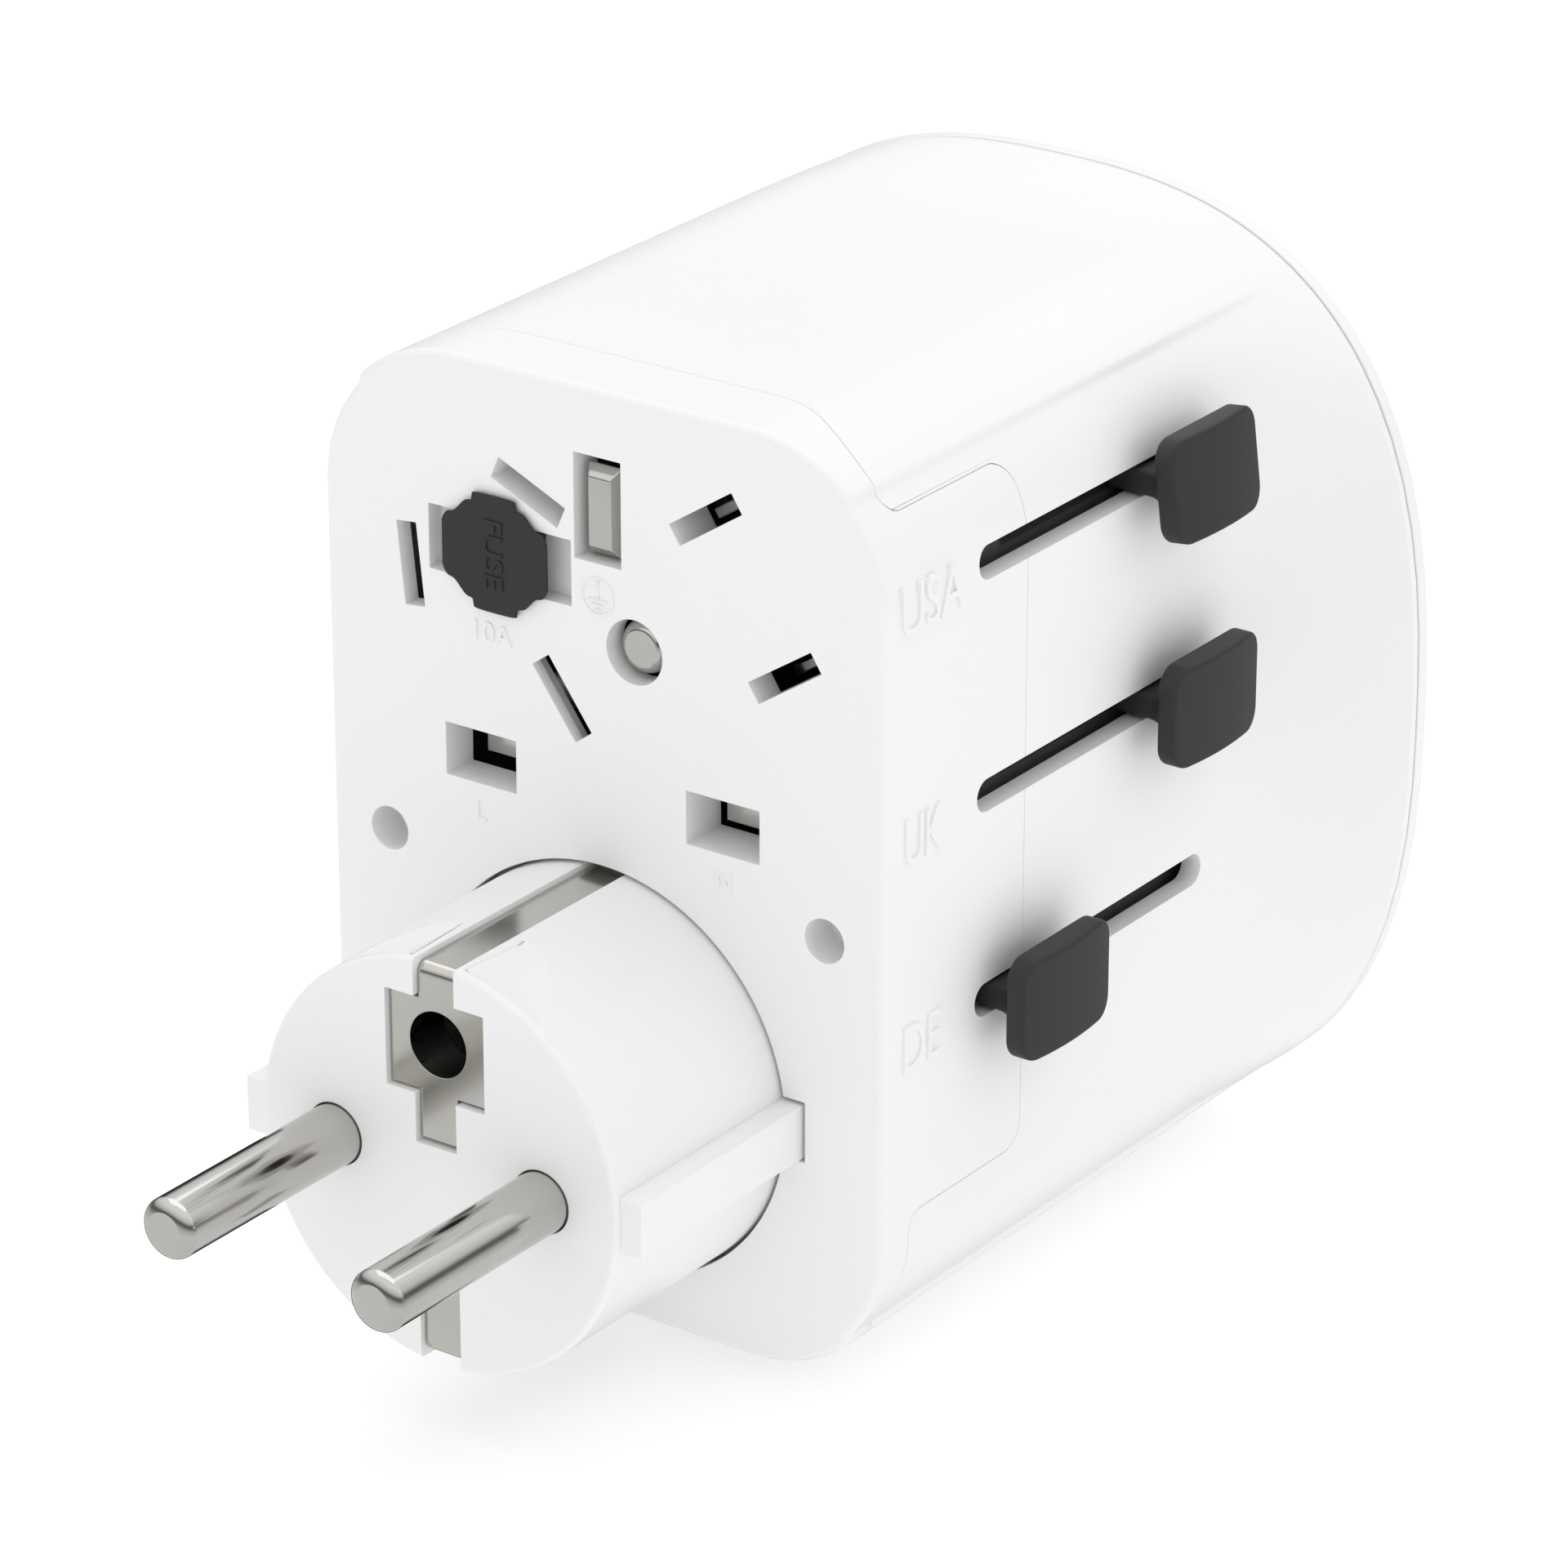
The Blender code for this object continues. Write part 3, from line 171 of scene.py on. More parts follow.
def carried(axis, outline, stations):
    """The (n, 2) outline stood at each station along an axis, as a grid."""
    grid = np.empty((len(stations), len(outline), 3))
    grid[..., axis] = np.asarray(stations, float)[:, None]
    grid[..., [other for other in range(3) if other != axis]] = outline
    return grid


def along_x(outline, x):
    """The outline of y, z points at each x."""
    return carried(0, outline, x)


def along_y(outline, y):
    """The outline of x, z points at each y."""
    return carried(1, outline, y)


def circle(centre, radius, count=48):
    """Centre plus radius times (cos t, sin t), for count even steps of t."""
    t = np.linspace(0, 2 * np.pi, count, endpoint=False)
    return np.stack((centre[0] + radius * np.cos(t), centre[1] + radius * np.sin(t)), axis=-1)


def rectangle(centre, size, turn=0.0):
    """Half sizes times the four signs, turned about the centre."""
    signs = np.array(((-1, -1), (1, -1), (1, 1), (-1, 1))) / 2
    a, b = (signs * np.asarray(size)).T
    c, s = math.cos(turn), math.sin(turn)
    return np.stack((centre[0] + a * c - b * s, centre[1] + a * s + b * c), axis=-1)


def rounded(low, high, radius, steps=10, sides=1):
    """Rectangle whose corners are quarter circles: corner centre plus radius (cos t, sin t).

    Each straight side between them is divided into equal parts."""
    t = np.radians(np.linspace(0, 90, steps + 1))
    low, high = np.asarray(low, float), np.asarray(high, float)
    quarters = []
    for i, (sx, sz) in enumerate(((1, 1), (-1, 1), (-1, -1), (1, -1))):
        cx = high[0] - radius if sx > 0 else low[0] + radius
        cz = high[1] - radius if sz > 0 else low[1] + radius
        turn = t + i * np.pi / 2
        quarters.append(np.stack((cx + radius * np.cos(turn), cz + radius * np.sin(turn)), -1))
    share = np.linspace(0, 1, sides + 1)[1:-1, None]
    parts = []
    for here, ahead in zip(quarters, quarters[1:] + quarters[:1]):
        parts += [here, here[-1] + (ahead[0] - here[-1]) * share]
    return np.concatenate(parts)


def box_between(name, low, high):
    outline = np.array(((low[0], low[2]), (high[0], low[2]), (high[0], high[2]), (low[0], high[2])))
    return skin(name, along_y(outline, (low[1], high[1])))


def rod(name, centre, radius, ends, count=64):
    """A circle of x, z points carried along Y between two ends."""
    return skin(name, along_y(circle(centre, radius, count), ends))


def revolve(name, centre, radii, ys, count=64):
    """Profile radius(y) turned about a Y axis: x, z = centre + radius (cos t, sin t)."""
    t = np.linspace(0, 2 * np.pi, count, endpoint=False)
    radii, ys = np.asarray(radii, float), np.asarray(ys, float)
    grid = np.empty((len(ys), count, 3))
    grid[..., 0] = centre[0] + radii[:, None] * np.cos(t)
    grid[..., 1] = ys[:, None]
    grid[..., 2] = centre[1] + radii[:, None] * np.sin(t)
    return skin(name, grid)


# ---------------------------------------------------------------- carving

def apply_boolean(target, tool, operation):
    modifier = target.modifiers.new(operation.lower(), "BOOLEAN")
    modifier.operation = operation
    modifier.solver = "EXACT"
    modifier.object = tool
    bpy.context.view_layer.update()
    evaluated = target.evaluated_get(bpy.context.evaluated_depsgraph_get())
    mesh = bpy.data.meshes.new_from_object(evaluated)
    target.modifiers.clear()
    old = target.data
    target.data = mesh
    bpy.data.meshes.remove(old)
    bpy.data.objects.remove(tool, do_unlink=True)
    return target


def cut(target, *tools):
    for tool in tools:
        apply_boolean(target, tool, "DIFFERENCE")
    return target


def join(target, *tools):
    for tool in tools:
        apply_boolean(target, tool, "UNION")
    return target


def merged(tools):
    """Cutters that stay clear of each other, as one object, so that one Boolean serves them all."""
    first = tools[0]
    shape = bmesh.new()
    for tool in tools:
        shape.from_mesh(tool.data)
    shape.to_mesh(first.data)
    shape.free()
    for tool in tools[1:]:
        bpy.data.objects.remove(tool, do_unlink=True)
    return first


def finished(obj, body, slot_name, *nodes, edge=0.0, turn=38, segments=2):
    """Soft edges, smooth shading, a finish, and the body and CAD nodes that the piece stands for."""
    obj.data.materials.clear()
    obj.data.materials.append(SLOT_FINISH[slot_name])
    obj.data.shade_smooth()
    if edge:
        bevel = obj.modifiers.new("soft_edges", "BEVEL")
        bevel.width = edge
        bevel.segments = segments
        bevel.limit_method = "ANGLE"
        bevel.angle_limit = math.radians(turn)
        bevel.use_clamp_overlap = False
        bevel.harden_normals = False
        bevel.miter_outer = "MITER_ARC"
        weighted = obj.modifiers.new("flats", "WEIGHTED_NORMAL")
        weighted.keep_sharp = True
        weighted.weight = 60
    else:
        obj.data.set_sharp_from_angle(angle=math.radians(turn))
    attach(obj, body)
    if nodes:
        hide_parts(*nodes)
    return obj


# ---------------------------------------------------------------- shader maths

class Value:
    """A shader socket that takes part in Python sums: each operator adds one Math node."""

    def __init__(self, graph, socket):
        self.graph = graph
        self.socket = socket

    def _math(self, operation, a, b):
        return self.graph.node("ShaderNodeMath", {"operation": operation}, {0: a, 1: b})

    def __add__(self, other):
        return self._math("ADD", self, other)

    __radd__ = __add__

    def __sub__(self, other):
        return self._math("SUBTRACT", self, other)

    def __rsub__(self, other):
        return self._math("SUBTRACT", other, self)

    def __mul__(self, other):
        return self._math("MULTIPLY", self, other)

    __rmul__ = __mul__


class Graph:
    """The nodes of one material or world, and a method that adds any node."""

    def __init__(self, tree):
        self.tree = tree

    def node(self, kind, settings=None, inputs=None, output=0):
        made = self.tree.nodes.new(kind)
        for key, value in (settings or {}).items():
            if key == "greys":
                ramp = made.color_ramp
                while len(ramp.elements) < len(value):
                    ramp.elements.new(0.5)
                for element, (place, grey) in zip(ramp.elements, value):
                    element.position = place
                    element.color = (grey, grey, grey, 1.0)
            else:
                setattr(made, key, value)
        for key, value in (inputs or {}).items():
            self.feed(made.inputs[key], value)
        return Value(self, made.outputs[output]) if made.outputs else None

    def feed(self, socket, value):
        if isinstance(value, Value):
            self.tree.links.new(value.socket, socket)
        else:
            socket.default_value = value


class Finish(Graph):
    """One material: a Principled shader and the nodes that feed it."""

    def __init__(self, name, **constants):
        self.material = bpy.data.materials.new(name)
        self.material.use_nodes = True
        super().__init__(self.material.node_tree)
        self.shader = self.tree.nodes["Principled BSDF"]
        for socket, value in constants.items():
            self.shader.inputs[socket.replace("_", " ")].default_value = value

    def drive(self, socket, value):
        self.feed(self.shader.inputs[socket], value)

    def place(self, scale=(1.0, 1.0, 1.0)):
        """Object coordinates, stretched by scale."""
        coords = self.node("ShaderNodeTexCoord", output="Object")
        return self.node("ShaderNodeMapping", {}, {"Vector": coords, "Scale": scale})

    def noise(self, vector, scale, detail=3.0, rough=0.5):
        return self.node("ShaderNodeTexNoise", {}, {
            "Vector": vector, "Scale": scale, "Detail": detail, "Roughness": rough,
        })

    def colours(self, factor, low, high):
        ends = {"Factor": factor, 6: (*low, 1.0), 7: (*high, 1.0)}
        return self.node("ShaderNodeMix", {"data_type": "RGBA"}, ends, output=2)

    def bump(self, height, strength, distance):
        shape = {"Height": height, "Strength": strength, "Distance": distance}
        self.drive("Normal", self.node("ShaderNodeBump", {}, shape))


def moulded_white():
    """Satin white plastic: spark-eroded grain of about 0.15 mm, and a faint unevenness of gloss."""
    finish = Finish("moulded_white", Roughness=0.4)
    here = finish.place()
    grain = finish.noise(here, 5200.0, 2.0, 0.6)
    cloud = finish.noise(here, 38.0, 3.0)
    tone = cloud * 0.6 + grain * 0.4
    finish.drive("Base Color", finish.colours(tone, (0.855, 0.857, 0.858), (0.895, 0.896, 0.894)))
    finish.drive("Roughness", 0.36 + cloud * 0.08 + grain * 0.06)
    finish.bump(grain, 0.22, 0.00003)
    return finish.material


def soft_charcoal(name, low, high):
    """Soft-touch dark plastic: fine even grain, slightly paler where it catches wear."""
    finish = Finish(name, Roughness=0.55, Specular_IOR_Level=0.3)
    here = finish.place()
    grain = finish.noise(here, 4300.0, 2.0, 0.65)
    cloud = finish.noise(here, 120.0, 4.0)
    finish.drive("Base Color", finish.colours(cloud * 0.7 + grain * 0.3, low, high))
    finish.drive("Roughness", 0.47 + cloud * 0.12 + grain * 0.05)
    finish.bump(grain, 0.3, 0.00004)
    return finish.material


def metal(name, low, high, stretch, patch, gloss, depth):
    """Drawn, rolled or stamped metal: lines along Y, and cloudy patches of gloss and tarnish.

    gloss is the lowest roughness, then what the lines and the patches add to it."""
    finish = Finish(name, Metallic=1.0)
    lines = finish.noise(finish.place(stretch), 1.0, 2.0)
    cloud = finish.noise(finish.place(), *patch)
    finish.drive("Base Color", finish.colours(cloud, low, high))
    finish.drive("Roughness", gloss[0] + lines * gloss[1] + cloud * gloss[2])
    finish.bump(lines, depth, 0.00001)
    return finish.material


def stamped_metal(name, low, high, rough):
    """Stamped sheet or turned steel: cloudy tarnish and a little rolling grain."""
    return metal(name, low, high, (6000.0, 200.0, 6000.0), (300.0, 4.0), (rough, 0.08, 0.1), 0.15)


def glazed_ceramic():
    """Glazed fuse barrel: off-white with faint specks."""
    finish = Finish("glazed_ceramic", Roughness=0.25)
    specks = finish.noise(finish.place(), 1800.0, 4.0)
    finish.drive("Base Color", finish.colours(specks, (0.76, 0.75, 0.70), (0.86, 0.85, 0.81)))
    finish.drive("Roughness", 0.18 + specks * 0.12)
    return finish.material


SLOT_FINISH = {
    "white_plastic": moulded_white(),
    "charcoal_grip": soft_charcoal("soft_grip", (0.024, 0.024, 0.025), (0.035, 0.035, 0.036)),
    "carrier_plastic": soft_charcoal(
        "carrier_plastic", (0.030, 0.030, 0.031), (0.046, 0.046, 0.048)
    ),
    "black_plastic": soft_charcoal("black_frame", (0.092, 0.092, 0.094), (0.115, 0.115, 0.118)),
    "nickel": metal(
        "polished_nickel", (0.50, 0.49, 0.465), (0.58, 0.57, 0.545), (9000.0, 60.0, 9000.0),
        (160.0, 3.0), (0.08, 0.06, 0.05), 0.12,
    ),
    "nickel_strip": metal(
        "satin_nickel", (0.50, 0.49, 0.455), (0.58, 0.57, 0.535), (14000.0, 120.0, 14000.0),
        (240.0, 3.0), (0.12, 0.06, 0.05), 0.2,
    ),
    "brass": stamped_metal("stamped_brass", (0.58, 0.40, 0.15), (0.74, 0.54, 0.24), 0.26),
    "steel": stamped_metal("zinc_steel", (0.48, 0.49, 0.51), (0.60, 0.61, 0.63), 0.28),
    "ceramic": glazed_ceramic(),
}


def dress_frame():
    """Every CAD node gets the full finish of its slot; the replaced ones are hidden later."""
    for part in frame["record"]["subparts"]:
        node = frame["nodes"][part["node"]]
        for slot in node.material_slots:
            slot.material = SLOT_FINISH[part["material_slot"]]


# ---------------------------------------------------------------- body

def front_outline():
    """Front outline as arc centres and turns, and how far each point is a side panel's.

    Each corner is a quarter circle of radius CORNER whose points crowd round the crease at 45
    degrees; straight sides run between them, divided evenly."""
    stretches = ((0, 41, 11), (42, 48, 13), (49, 90, 11))
    turn = np.radians(np.concatenate([np.linspace(*stretch) for stretch in stretches]))
    reach_x, reach_z = HALF_WIDTH + PANEL_STEP - CORNER, HALF_HEIGHT - CORNER
    signs = ((1, 1), (-1, 1), (-1, -1), (1, -1))
    parts = []
    for i, (sx, sz) in enumerate(signs):
        local = turn if sx * sz > 0 else turn[::-1]
        normal = np.stack((sx * np.cos(local), sz * np.sin(local)), axis=-1)
        centre = np.broadcast_to((sx * reach_x, sz * reach_z), normal.shape)
        side = 1 / (1 + np.exp((local - CREASE) / (CREASE_SPREAD / 3)))
        parts.append((centre, normal, side))
        nx, nz = signs[(i + 1) % 4]
        f = np.linspace(0, 1, 16)[1:-1, None]
        ahead = np.array((nx * reach_x, nz * reach_z))
        line_normal = np.broadcast_to(normal[-1], (len(f), 2))
        flat = np.full(len(f), side[-1].round())
        parts.append((centre[-1] + (ahead - centre[-1]) * f, line_normal, flat))
    return [np.concatenate(column) for column in zip(*parts)]


OUT_CENTRE, OUT_NORMAL, OUT_SIDE = front_outline()


def body_grid(ys, insets, shift=0.0, step=PANEL_STEP):
    """Rings of the body at each y: front outline plus (rim - front) times a cosine fillet.

    The fillet share is (1 - cos(turn t)) / (1 - cos(turn)), with t from 0 at the flare's start to
    1 at the rim; the rim is the oval |x/a|^n + |z/b|^n = 1 along the same polar direction."""
    ys = np.asarray(ys, float)[:, None]
    insets = np.asarray(insets, float)[:, None]
    t = np.clip((ys - shift - FLARE_START) / (FLARE_END - FLARE_START), 0, 1)
    grown = (1 - np.cos(FLARE_TURN * t)) / (1 - math.cos(FLARE_TURN))
    reach = CORNER - insets - step * OUT_SIDE * (1 - grown)
    front_x = OUT_CENTRE[:, 0] + OUT_NORMAL[:, 0] * reach
    front_z = OUT_CENTRE[:, 1] + OUT_NORMAL[:, 1] * reach
    angle = np.arctan2(front_z, front_x)
    a = np.abs(np.cos(angle)) / (RIM_HALF_WIDTH - insets)
    b = np.abs(np.sin(angle)) / (RIM_HALF_HEIGHT - insets)
    rim = (a ** RIM_POWER + b ** RIM_POWER) ** (-1 / RIM_POWER)
    x = front_x + (rim * np.cos(angle) - front_x) * grown
    z = front_z + (rim * np.sin(angle) - front_z) * grown
    return np.stack((x, np.broadcast_to(ys, x.shape), z + CENTRE_Z), axis=-1)


def round_over(start, radius, steps=6):
    """(y, inset) of a quarter round that starts inset by its radius at y = start."""
    t = np.radians(np.linspace(0, 90, steps + 1))
    return start + radius * (1 - np.cos(t)), radius * (1 - np.sin(t))


def body_solid():
    """Outer body less its hollow, before the cover and the shell are parted."""
    y0, i0 = round_over(FACE_Y, FACE_ROUND)
    straight = np.array((20 * MM, FLARE_START))
    flare = np.linspace(FLARE_START, FLARE_END, 24)[1:]
    y1, i1 = round_over(0.0, 0.22 * MM, 4)
    rim_y = RIM_Y - y1[::-1]
    ys = np.concatenate((y0, straight, flare, rim_y))
    insets = np.concatenate((i0, np.zeros(len(straight) + len(flare)), i1[::-1]))
    body = skin("body", body_grid(ys, insets))
    inner_y = np.concatenate(([FACE_Y + WALL, 30 * MM], np.linspace(FLARE_START + WALL, RIM_Y, 9)))
    hollow = body_grid(inner_y, np.full(len(inner_y), WALL), WALL, 0.0)
    end = hollow[-1:].copy()
    end[..., 1] = RIM_Y + 4 * MM
    cut(body, skin("hollow", np.concatenate((hollow, end))))
    return body


def slot_tool(z, side):
    outline = rounded((SLOT_FRONT, z - SLOT_HALF), (SLOT_REAR, z + SLOT_HALF), SLOT_HALF * 0.999, 12)
    x = sorted((side * 20 * MM, side * 30 * MM))
    return skin("slot", along_x(outline, x))


def seam_depth(x):
    """Depth of the face's rear edge: a cosine fall from COVER_DEPTH to SIDE_SEAM round a corner."""
    t = np.clip((np.abs(x) - SEAM_BEND[0]) / (SEAM_BEND[1] - SEAM_BEND[0]), 0, 1)
    return SIDE_SEAM + (COVER_DEPTH - SIDE_SEAM) * (1 + np.cos(np.pi * t)) / 2


def tongue_outline(grow):
    """Tongue in y, z: hollow fillets where it leaves the face, round corners at its end.

    Each quarter is a centre plus radius (cos t, sin t)."""
    top, bottom = TONGUE_TOP + grow, TONGUE_BOTTOM - grow
    start, end = SIDE_SEAM + grow, TONGUE_DEPTH + grow
    fillet, corner = TONGUE_FILLET - grow, TONGUE_CORNER + grow
    arcs = []
    for y, z, radius, first, last in (
        (start + fillet, top + fillet, fillet, 180, 270),
        (end - corner, top - corner, corner, 90, 0),
        (end - corner, bottom + corner, corner, 0, -90),
        (start + fillet, bottom - fillet, fillet, 90, 180),
    ):
        t = np.radians(np.linspace(first, last, 10))
        arcs.append(np.stack((y + radius * np.cos(t), z + radius * np.sin(t)), axis=-1))
    return np.concatenate((*arcs, ((-FAR, bottom - fillet), (-FAR, top + fillet))))


def cover_region(grow):
    """Slab behind the face, with a round-cornered tongue reaching back along each side."""
    x = np.linspace(SEAM_BEND[1], -SEAM_BEND[1], 61)
    rear = np.stack((x, seam_depth(x) + grow), axis=-1)
    side = SIDE_SEAM + grow
    outline = np.concatenate((rear, ((-FAR, side), (-FAR, -FAR), (FAR, -FAR), (FAR, side))))
    slab = skin("region", carried(2, outline, (-FAR, FAR)))
    inner = TONGUE_INNER - grow
    for ends in ((inner, FAR), (-FAR, -inner)):
        join(slab, skin("tongue", along_x(tongue_outline(grow), ends)))
    return slab


SLOT_WALLS = {           # how deep the cover's wall is round each pin's opening
    "uk_line_pin": 3.3 * MM,
    "uk_neutral_pin": 4.4 * MM,
    "uk_earth_pin": 3.0 * MM,
    "usa_line_blade": 2.8 * MM,
    "usa_neutral_blade": 4.6 * MM,
    "aus_line_blade": 4.5 * MM,
    "aus_neutral_blade": 1.6 * MM,
    "aus_earth_blade": 1.0 * MM,
}


def pin_slots():
    """Node, centre, size and turn of each straight opening, from where the frame's pins stand."""
    slack = 0.25 * MM
    slots = []
    for node in ("uk_line_pin", "uk_neutral_pin", "uk_earth_pin"):
        low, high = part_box(node)
        size = (high.x - low.x + slack, high.z - low.z + slack)
        slots.append((node, face_place(node), size, 0.0))
    for node, thick, turn in (
        ("usa_line_blade", US_THICK, US_TURN),
        ("usa_neutral_blade", US_THICK, US_TURN),
        ("aus_line_blade", AUS_THICK, AUS_TURN + AUS_SLANT),
        ("aus_neutral_blade", AUS_THICK, AUS_TURN - AUS_SLANT),
        ("aus_earth_blade", AUS_THICK, AUS_TURN),
    ):
        slots.append((node, face_place(node), (BLADE_WIDTH + slack, thick + slack), turn))
    return slots


def make_cover(body):
    """Front cover: the face and its tongues, with collars, recesses and every pin opening."""
    cover = apply_boolean(body, cover_region(-PARTING), "INTERSECT")
    cover.name = "front_cover_skin"
    recess = ((-15.6 * MM, 14.2 * MM), (-2.45 * MM, 19.35 * MM))
    rim = 0.8 * MM
    join(cover, box_between(
        "boss",
        (recess[0][0] - rim, WALL - 0.5 * MM, recess[0][1] - rim),
        (recess[1][0] + rim, 4.2 * MM, recess[1][1] + rim),
    ))
    through, hidden = (-9 * MM, 9 * MM), WALL - 0.5 * MM
    openings, reliefs = [], []
    for node, centre, size, turn in pin_slots():
        depth = SLOT_WALLS[node]
        openings.append(skin("opening", along_y(rectangle(centre, size, turn), through)))
        if depth > WALL:
            collar = rectangle(centre, np.add(size, 1.6 * MM), turn)
            join(cover, skin("collar", along_y(collar, (hidden, depth))))
        else:
            relief = rectangle(centre, np.add(size, 1.1 * MM), turn)
            reliefs.append(skin("relief", along_y(relief, (depth, through[1]))))
    dimple_places = ((-20.0 * MM, -8.0 * MM), (20.2 * MM, -6.65 * MM))
    for place in dimple_places:
        join(cover, rod("dimple_boss", place, 2.7 * MM, (hidden, 4.3 * MM), 40))
    openings.append(rod("opening", face_place("usa_ground_pin"), 2.53 * MM, through, 48))
    block_way = rod("way", DE_CENTRE, DE_RADIUS + 0.3 * MM, through, 160)
    ribs = rectangle((0.0, -22.65 * MM), (37.0 * MM, 4.9 * MM))
    join(block_way, skin("ribs", along_y(ribs, through)))
    cut(cover, merged(openings + [block_way]), merged(reliefs))
    cut(cover, box_between(
        "recess", (recess[0][0], -MM, recess[0][1]), (recess[1][0], 1.5 * MM, recess[1][1])
    ))
    holes = [rod("dimple", c, 1.75 * MM, (-MM, 3.4 * MM), 40) for c in dimple_places]
    holes.append(rod("fuse_way", face_place("fuse_cap"), 3.1 * MM, through, 40))
    cut(cover, merged(holes))
    return finished(cover, "housing", "white_plastic", "front_cover", edge=SHELL_EDGE, turn=40)


def make_shell(body):
    """Main shell: what the cover's region leaves, with its four screw posts."""
    shell = cut(body, cover_region(PARTING))
    shell.name = "main_shell_skin"
    for number in range(1, 5):
        x, z = face_place(f"frame_screw_{number}")
        start, end = 37 * MM, 44.9 * MM
        wall_z = z + math.copysign(4.2 * MM, z)
        join(shell, rod("post", (x, z), 2.4 * MM, (start, end), 32))
        low = (x - 1.4 * MM, start, min(z, wall_z))
        join(shell, box_between("rib", low, (x + 1.4 * MM, end, max(z, wall_z))))
        cut(shell, rod("pilot", (x, z), 1.3 * MM, (start + MM, 50 * MM), 24))
    return finished(shell, "housing", "white_plastic", "main_shell", edge=SHELL_EDGE, turn=40)


def make_body():
    whole = body_solid()
    cut(whole, merged([slot_tool(middle(n).z, s) for n, s in (
        ("usa_knob", 1), ("uk_knob", 1), ("de_knob", 1), ("aus_knob", -1)
    )]))
    other = whole.copy()
    other.data = whole.data.copy()
    bpy.context.collection.objects.link(other)
    make_cover(whole)
    make_shell(other)


SOCKET_WAY = (50 * MM, 70 * MM)   # ends of what cuts the rear openings


def make_rear_plate():
    """Oval plate with a quarter-round edge, its skirt inside the rim, and the socket's opening."""
    start = plate_high.y - 1.5 * MM
    y0, i0 = round_over(0.0, 0.15 * MM, 3)
    y1, i1 = round_over(0.0, 0.6 * MM, 7)
    ys = np.concatenate((start + y0, plate_high.y - y1[::-1]))
    insets = np.concatenate((i0, i1[::-1]))
    grid = body_grid(np.full(len(ys), RIM_Y), insets)
    grid[..., 1] = ys[:, None]
    plate = skin("rear_plate_skin", grid)
    front = start - 2.6 * MM
    for inset, operation, ends in (
        (WALL + 0.3 * MM, "UNION", (front, start + 0.5 * MM)),
        (WALL + 1.7 * MM, "DIFFERENCE", (front - MM, start)),
    ):
        ring = body_grid((front, front), (inset, inset), WALL, 0.0)
        ring[..., 1] = np.array(ends)[:, None]
        apply_boolean(plate, skin("skirt", ring), operation)
    cut(plate, rod("opening", face_place("socket_face"), 22.0 * MM, SOCKET_WAY, 128))
    return finished(plate, "housing", "white_plastic", "rear_plate", edge=0.12 * MM, turn=45)


def make_socket_face():
    """Disc turned with a rounded rim, a shallow ring groove, and the openings of the socket."""
    at = face_place("socket_face")
    low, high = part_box("socket_face")
    radius, flange = 21.7 * MM, high.x
    y, inset = round_over(0.0, 0.5 * MM, 6)
    flange_end = RIM_Y - 0.1 * MM
    ys = np.concatenate(((low.y, flange_end, flange_end), high.y - y[::-1]))
    radii = np.concatenate(((flange, flange, radius), radius - inset[::-1]))
    face = revolve("socket_face_skin", at, radii, ys, 160)
    level = high.y + MM
    groove = rod("groove", at, 19.6 * MM, (high.y - 0.3 * MM, level), 128)
    core = rod("core", at, 19.1 * MM, (high.y - MM, level + MM), 128)
    cut(face, cut(groove, core))
    pin_z = -12.0 * MM
    wide = [rectangle((s * 10 * MM, pin_z), (9.6 * MM, 5.4 * MM)) for s in (-1, 1)]
    tall = [rectangle((s * 6.35 * MM, pin_z), (2.2 * MM, 7.2 * MM)) for s in (-1, 1)]
    others = [
        rectangle((0.0, pin_z + 22.23 * MM), (4.8 * MM, 8.8 * MM)),
        circle((0.0, pin_z + 11.9 * MM), 2.7 * MM, 48),
    ]
    for group in (wide, tall, others):
        cut(face, merged([skin("opening", along_y(o, SOCKET_WAY)) for o in group]))
    return finished(face, "housing", "white_plastic", "socket_face", edge=0.2 * MM, turn=45)


# ---------------------------------------------------------------- slider knobs

KNOB_Z = {"usa_knob": 19.8 * MM, "uk_knob": 1.6 * MM, "de_knob": -14.9 * MM, "aus_knob": 9.0 * MM}
KNOB_HEIGHT = 4.1 * MM
KNOB_CORNER = 1.8 * MM
KNOB_INNER, KNOB_OUTER = 27.95 * MM, 30.15 * MM
KNOB_CROWN = 0.6 * MM


def knob_pad(length):
    """Pad whose outer face is crowned: x = outer - crown (y / length)^2, less its edge's fillet.

    Every ring is a rounded rectangle in y, z, drawn in by the quarter round at each edge."""
    def ring(inset, scale=1.0):
        corner = (length - inset, KNOB_HEIGHT - inset)
        return scale * rounded(np.negative(corner), corner, KNOB_CORNER - inset, 12, 10)

    def crowned(outline):
        return KNOB_OUTER - KNOB_CROWN * (outline[:, 0] / length) ** 2

    edge_in, edge_out = 0.3 * MM, 0.28 * MM
    turns = np.radians(np.linspace(0, 90, 6))
    rows = [(ring(edge_in, scale), KNOB_INNER) for scale in (0.02, 0.5, 0.9)]
    for t in turns:
        rows.append((ring(edge_in * (1 - math.sin(t))), KNOB_INNER + edge_in * (1 - math.cos(t))))
    for t in turns:
        outline = ring(edge_out * (1 - math.cos(t)))
        rows.append((outline, crowned(outline) - edge_out * (1 - math.sin(t))))
    for scale in np.linspace(0.94, 0.02, 14):
        outline = ring(edge_out, scale)
        rows.append((outline, crowned(outline)))
    return np.stack([
        np.column_stack((np.broadcast_to(x, len(outline)), outline)) for outline, x in rows
    ])


